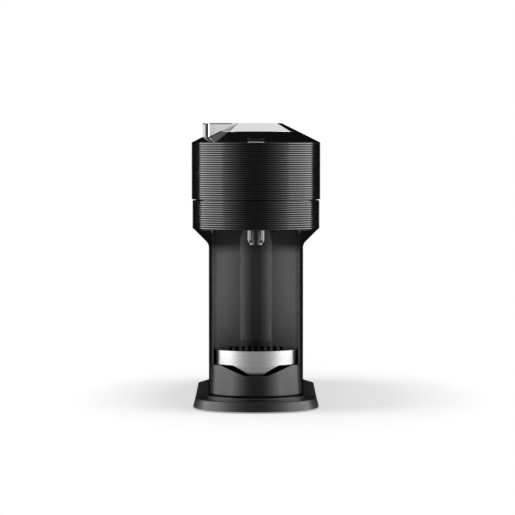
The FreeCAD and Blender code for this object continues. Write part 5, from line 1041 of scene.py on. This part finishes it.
@dataclass
class Studio:
    """Camera, pale floor, soft lights and plain surroundings; lengths in metres."""

    camera_place: Point = (0.0017, -3.2335, 0.2929)
    camera_aim: Point = (0.0017, -0.1435, 0.166)
    lens: float = 196.0
    sensor: float = 36.0
    camera_sees: float = 50.0
    axis_y: float = -0.1435
    floor_half: float = 8.0
    floor_level: float = -0.0003
    floor_tone: Rgb = (0.84, 0.84, 0.84)
    shadow_size: Pair = (0.16, 0.3)
    shadow_zone: Pair = (0.8, 1.5)
    shadow_lift: float = 0.35
    shadow_shift: float = 0.03
    box_reach: float = 1.15
    box_depth: float = 1.27
    box_height: float = 1.9
    box_level: float = 2.8
    box_forward: float = 0.03
    box_lift: float = 0.01
    top_size: float = 0.9
    top_height: float = 1.6
    top_level: float = 1.4
    fill_level: float = 0.35
    ahead: Pair = (-60.0, 60.0)
    behind: Pair = (119.0, 241.0)
    ahead_reach: float = 3.4
    behind_reach: float = 1.5
    card_gap: float = 0.1
    card_top: float = 3.2
    card_floor: float = 0.001
    card_inner: float = 0.085
    side_power: float = 3.0
    veil_levels: Pair = (0.1, 2.7)
    trim_levels: Pair = (0.33, 1.43)
    wall_levels: Pair = (0.82, 0.82)
    rear_floor_levels: Pair = (1.3, 1.3)
    fin_levels: Pair = (0.0, 1.2)
    spout_levels: Pair = (2.2, 2.6)
    spout_span: Pair = (64.0, 140.0)
    spout_reach: float = 0.042
    spout_heights: Pair = (0.165, 0.197)

    def camera(self) -> None:
        """Sets the camera at the photograph's view."""
        data = bpy.data.cameras.new("front_camera")
        data.lens = self.lens
        data.sensor_width = self.sensor
        data.clip_end = self.camera_sees
        view = bpy.data.objects.new("front_camera", data)
        view.location = self.camera_place
        way = Vector(self.camera_aim) - Vector(self.camera_place)
        view.rotation_euler = way.to_track_quat("-Z", "Y").to_euler()
        bpy.context.scene.collection.objects.link(view)
        bpy.context.scene.camera = view

    def stand(self, mesh: bpy.types.Mesh, material: bpy.types.Material,
              seen: Seen) -> bpy.types.Object:
        """Stands a card on the stage.

        Args:
            mesh: Its shape.
            material: What it shows.
            seen: The rays that meet it.

        Returns:
            The card.
        """
        mesh.materials.append(material)
        made = bpy.data.objects.new(mesh.name, mesh)
        bpy.context.scene.collection.objects.link(made)
        if seen is Seen.GLOSS:
            made.visible_camera = False
            made.visible_diffuse = False
            made.visible_transmission = False
            made.visible_shadow = False
        return made

    def glow(self, name: str, levels: Pair, clear: bool) -> bpy.types.Material:
        """A lit card, even or lighter to the machine's sides than ahead of it.

        Args:
            name: The material's name.
            levels: How bright it looks straight ahead and square to the side.
            clear: Whether what lies behind it shows through.

        Returns:
            The material.
        """
        shade = Shade(name)
        flat = shade.node("ShaderNodeMapping", Vector=shade.coords,
                          Location=(0.0, -self.axis_y, 0.0), Scale=(1.0, 1.0, 0.0))
        way = shade.maths("NORMALIZE", flat.outputs["Vector"], vectors=True, output="Vector")
        parts = shade.node("ShaderNodeSeparateXYZ", Vector=way).outputs
        aside = shade.maths("ABSOLUTE", parts["X"])
        level = shade.span(shade.maths("POWER", aside, self.side_power), *levels, 0.0, 1.0)
        shown = shade.node("ShaderNodeEmission", Color=WHITE, Strength=level).outputs[0]
        if clear:
            both = shade.tree.nodes.new("ShaderNodeAddShader")
            shade.feed(both.inputs[0], shown)
            shade.feed(both.inputs[1], shade.node("ShaderNodeBsdfTransparent").outputs[0])
            shown = both.outputs[0]
        shade.feed(shade.output.inputs["Surface"], shown)
        return shade.material

    def floor(self) -> None:
        """Lays a white floor that keeps the shadow near the machine."""
        shade = Shade("studio_floor")
        across, along = self.shadow_size
        place = shade.node("ShaderNodeMapping", Vector=shade.coords,
                           Scale=(1.0 / across, 1.0 / along, 1.0),
                           Location=(-self.shadow_shift / across, 0.0, 0.0))
        reach = shade.maths("LENGTH", place.outputs["Vector"], vectors=True)
        far = shade.span(reach, self.shadow_lift, 1.0, *self.shadow_zone)
        matt = shade.node("ShaderNodeBsdfDiffuse", Color=self.floor_tone)
        white = shade.node("ShaderNodeEmission", Color=WHITE, Strength=1.0)
        mix = shade.tree.nodes.new("ShaderNodeMixShader")
        for index, value in enumerate((far, matt.outputs[0], white.outputs[0])):
            shade.feed(mix.inputs[index], value)
        shade.feed(shade.output.inputs["Surface"], mix.outputs[0])
        half = self.floor_half
        mesh = bpy.data.meshes.new("studio_floor")
        mesh.from_pydata([(x, y, self.floor_level) for x, y in (
            (-half, -half), (half, -half), (half, half), (-half, half))], [], [(0, 1, 2, 3)])
        self.stand(mesh, shade.material, Seen.ALL)

    def group(self, name: str, pieces: list[bpy.types.Object]) -> bpy.types.Collection:
        """Groups the pieces that a card is shown to.

        Args:
            name: The group's name.
            pieces: Its pieces.

        Returns:
            The group.
        """
        made = bpy.data.collections.new(name)
        for piece in pieces:
            made.objects.link(piece)
        return made

    def screens(self) -> None:
        """Stands the cards that draw the black gloss, then the trim's, spout's and fin's own."""
        lever_pieces = [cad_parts["lever_trim"], bpy.data.objects["fin_insert"]]
        bright = [*lever_pieces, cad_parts["support_front_plate"]]
        trim = self.group("bright_trim", bright)
        rest = self.group("not_bright_trim", bright)
        for entry in rest.collection_objects:
            entry.light_linking.link_state = "EXCLUDE"
        spout = self.group("spout_only", [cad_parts["coffee_spout"]])
        lever = self.group("lever_only", lever_pieces)
        veil = self.glow("front_veil", self.veil_levels, True)
        front = self.glow("trim_ahead", self.trim_levels, False)
        wall = self.glow("trim_wall", self.wall_levels, False)
        back = self.glow("trim_rear_floor", self.rear_floor_levels, False)
        lobe = self.glow("spout_card", self.spout_levels, True)
        fin = self.glow("fin_veil", self.fin_levels, True)
        far, near, top, low = self.ahead_reach, self.behind_reach, self.card_top, self.card_floor
        inner, under = self.card_inner, self.card_floor / 2.0
        behind_veil, before_veil = far + self.card_gap, far - self.card_gap
        start, end = self.spout_span
        foot, head = ((self.spout_reach, height) for height in self.spout_heights)
        for sweep, lit, shown_to in (
                (Sweep("front_veil", self.ahead, (far, 0.0), (far, top)), veil, rest),
                (Sweep("front_floor_veil", self.ahead, (far, low), (inner, low)), veil, rest),
                (Sweep("front_trim_card", self.ahead, (behind_veil, 0.0),
                       (behind_veil, top + self.card_gap)), front, trim),
                (Sweep("front_trim_floor", self.ahead, (far, under), (inner, under)), front, trim),
                (Sweep("rear_trim_card", self.behind, (near, 0.0), (near, top)), wall, trim),
                (Sweep("rear_trim_floor", self.behind, (near, low), (inner, low)), back, trim),
                (Sweep("spout_card_left", (-start, -end), foot, head), lobe, spout),
                (Sweep("spout_card_right", (start, end), foot, head), lobe, spout),
                (Sweep("fin_veil", self.ahead, (before_veil, 0.0), (before_veil, top)),
                 fin, lever)):
            card = self.stand(sweep.mesh(self.axis_y), lit, Seen.GLOSS)
            card.light_linking.receiver_collection = shown_to

    def lamp(self, name: str, place: Point, aim: Point, size: Pair, level: float) -> None:
        """Adds a soft rectangular lamp.

        Args:
            name: The lamp's name.
            place: Where it stands.
            aim: What it faces.
            size: Its width and height.
            level: Its brightness as seen.
        """
        data = bpy.data.lights.new(name, "AREA")
        data.shape = "RECTANGLE"
        data.size, data.size_y = size
        data.energy = level * math.pi * size[0] * size[1]
        lamp = bpy.data.objects.new(name, data)
        lamp.location = place
        way = Vector(aim) - Vector(place)
        lamp.rotation_euler = way.to_track_quat("-Z", "Y").to_euler()
        lamp.visible_camera = False
        bpy.context.scene.collection.objects.link(lamp)

    def lights(self) -> None:
        """Stands a tall soft box at each side and one above."""
        y = self.axis_y - self.box_forward
        middle = self.box_height / 2.0 + self.box_lift
        for name, x in (("soft_box_left", -self.box_reach), ("soft_box_right", self.box_reach)):
            self.lamp(name, (x, y, middle), (0.0, y, middle), (self.box_depth, self.box_height),
                      self.box_level)
        self.lamp("soft_box_top", (0.0, 0.0, self.top_height), (0.0, 0.0, 0.0),
                  (self.top_size, self.top_size), self.top_level)

    def world(self) -> None:
        """Surrounds the scene with white for what is seen and a plain fill for what is lit."""
        world = bpy.data.worlds.new("studio")
        bpy.context.scene.world = world
        world.use_nodes = True
        tree = world.node_tree
        tree.nodes.clear()
        rays = tree.nodes.new("ShaderNodeLightPath")
        seen = rays.outputs["Is Camera Ray"]
        for other in ("Is Glossy Ray", "Is Transmission Ray"):
            either = tree.nodes.new("ShaderNodeMath")
            either.operation = "MAXIMUM"
            tree.links.new(seen, either.inputs[0])
            tree.links.new(rays.outputs[other], either.inputs[1])
            seen = either.outputs[0]
        mix = tree.nodes.new("ShaderNodeMixShader")
        tree.links.new(seen, mix.inputs[0])
        for index, level in ((1, self.fill_level), (2, 1.0)):
            sky = tree.nodes.new("ShaderNodeBackground")
            sky.inputs["Color"].default_value = (*WHITE, 1.0)
            sky.inputs["Strength"].default_value = level
            tree.links.new(sky.outputs[0], mix.inputs[index])
        output = tree.nodes.new("ShaderNodeOutputWorld")
        tree.links.new(mix.outputs[0], output.inputs["Surface"])

    def build(self) -> None:
        """Sets up the whole studio."""
        bpy.context.scene.view_settings.view_transform = "Standard"
        self.camera()
        self.floor()
        self.screens()
        self.lights()
        self.world()


def main() -> None:
    """Builds every sub-assembly in order, then the studio."""
    logging.basicConfig(level=logging.INFO, format="%(name)s: %(message)s")
    palette = Palette()
    for group in (Foot, Column, DripStand, BrewBowl, Lid, Lever, Button, RearBody, Tank,
                  WaterPath):
        part = group(palette)
        part.dress()
        part.build()
        LOG.info("finished %s", group.__name__)
    Studio().build()


if __name__ == "__main__":
    main()
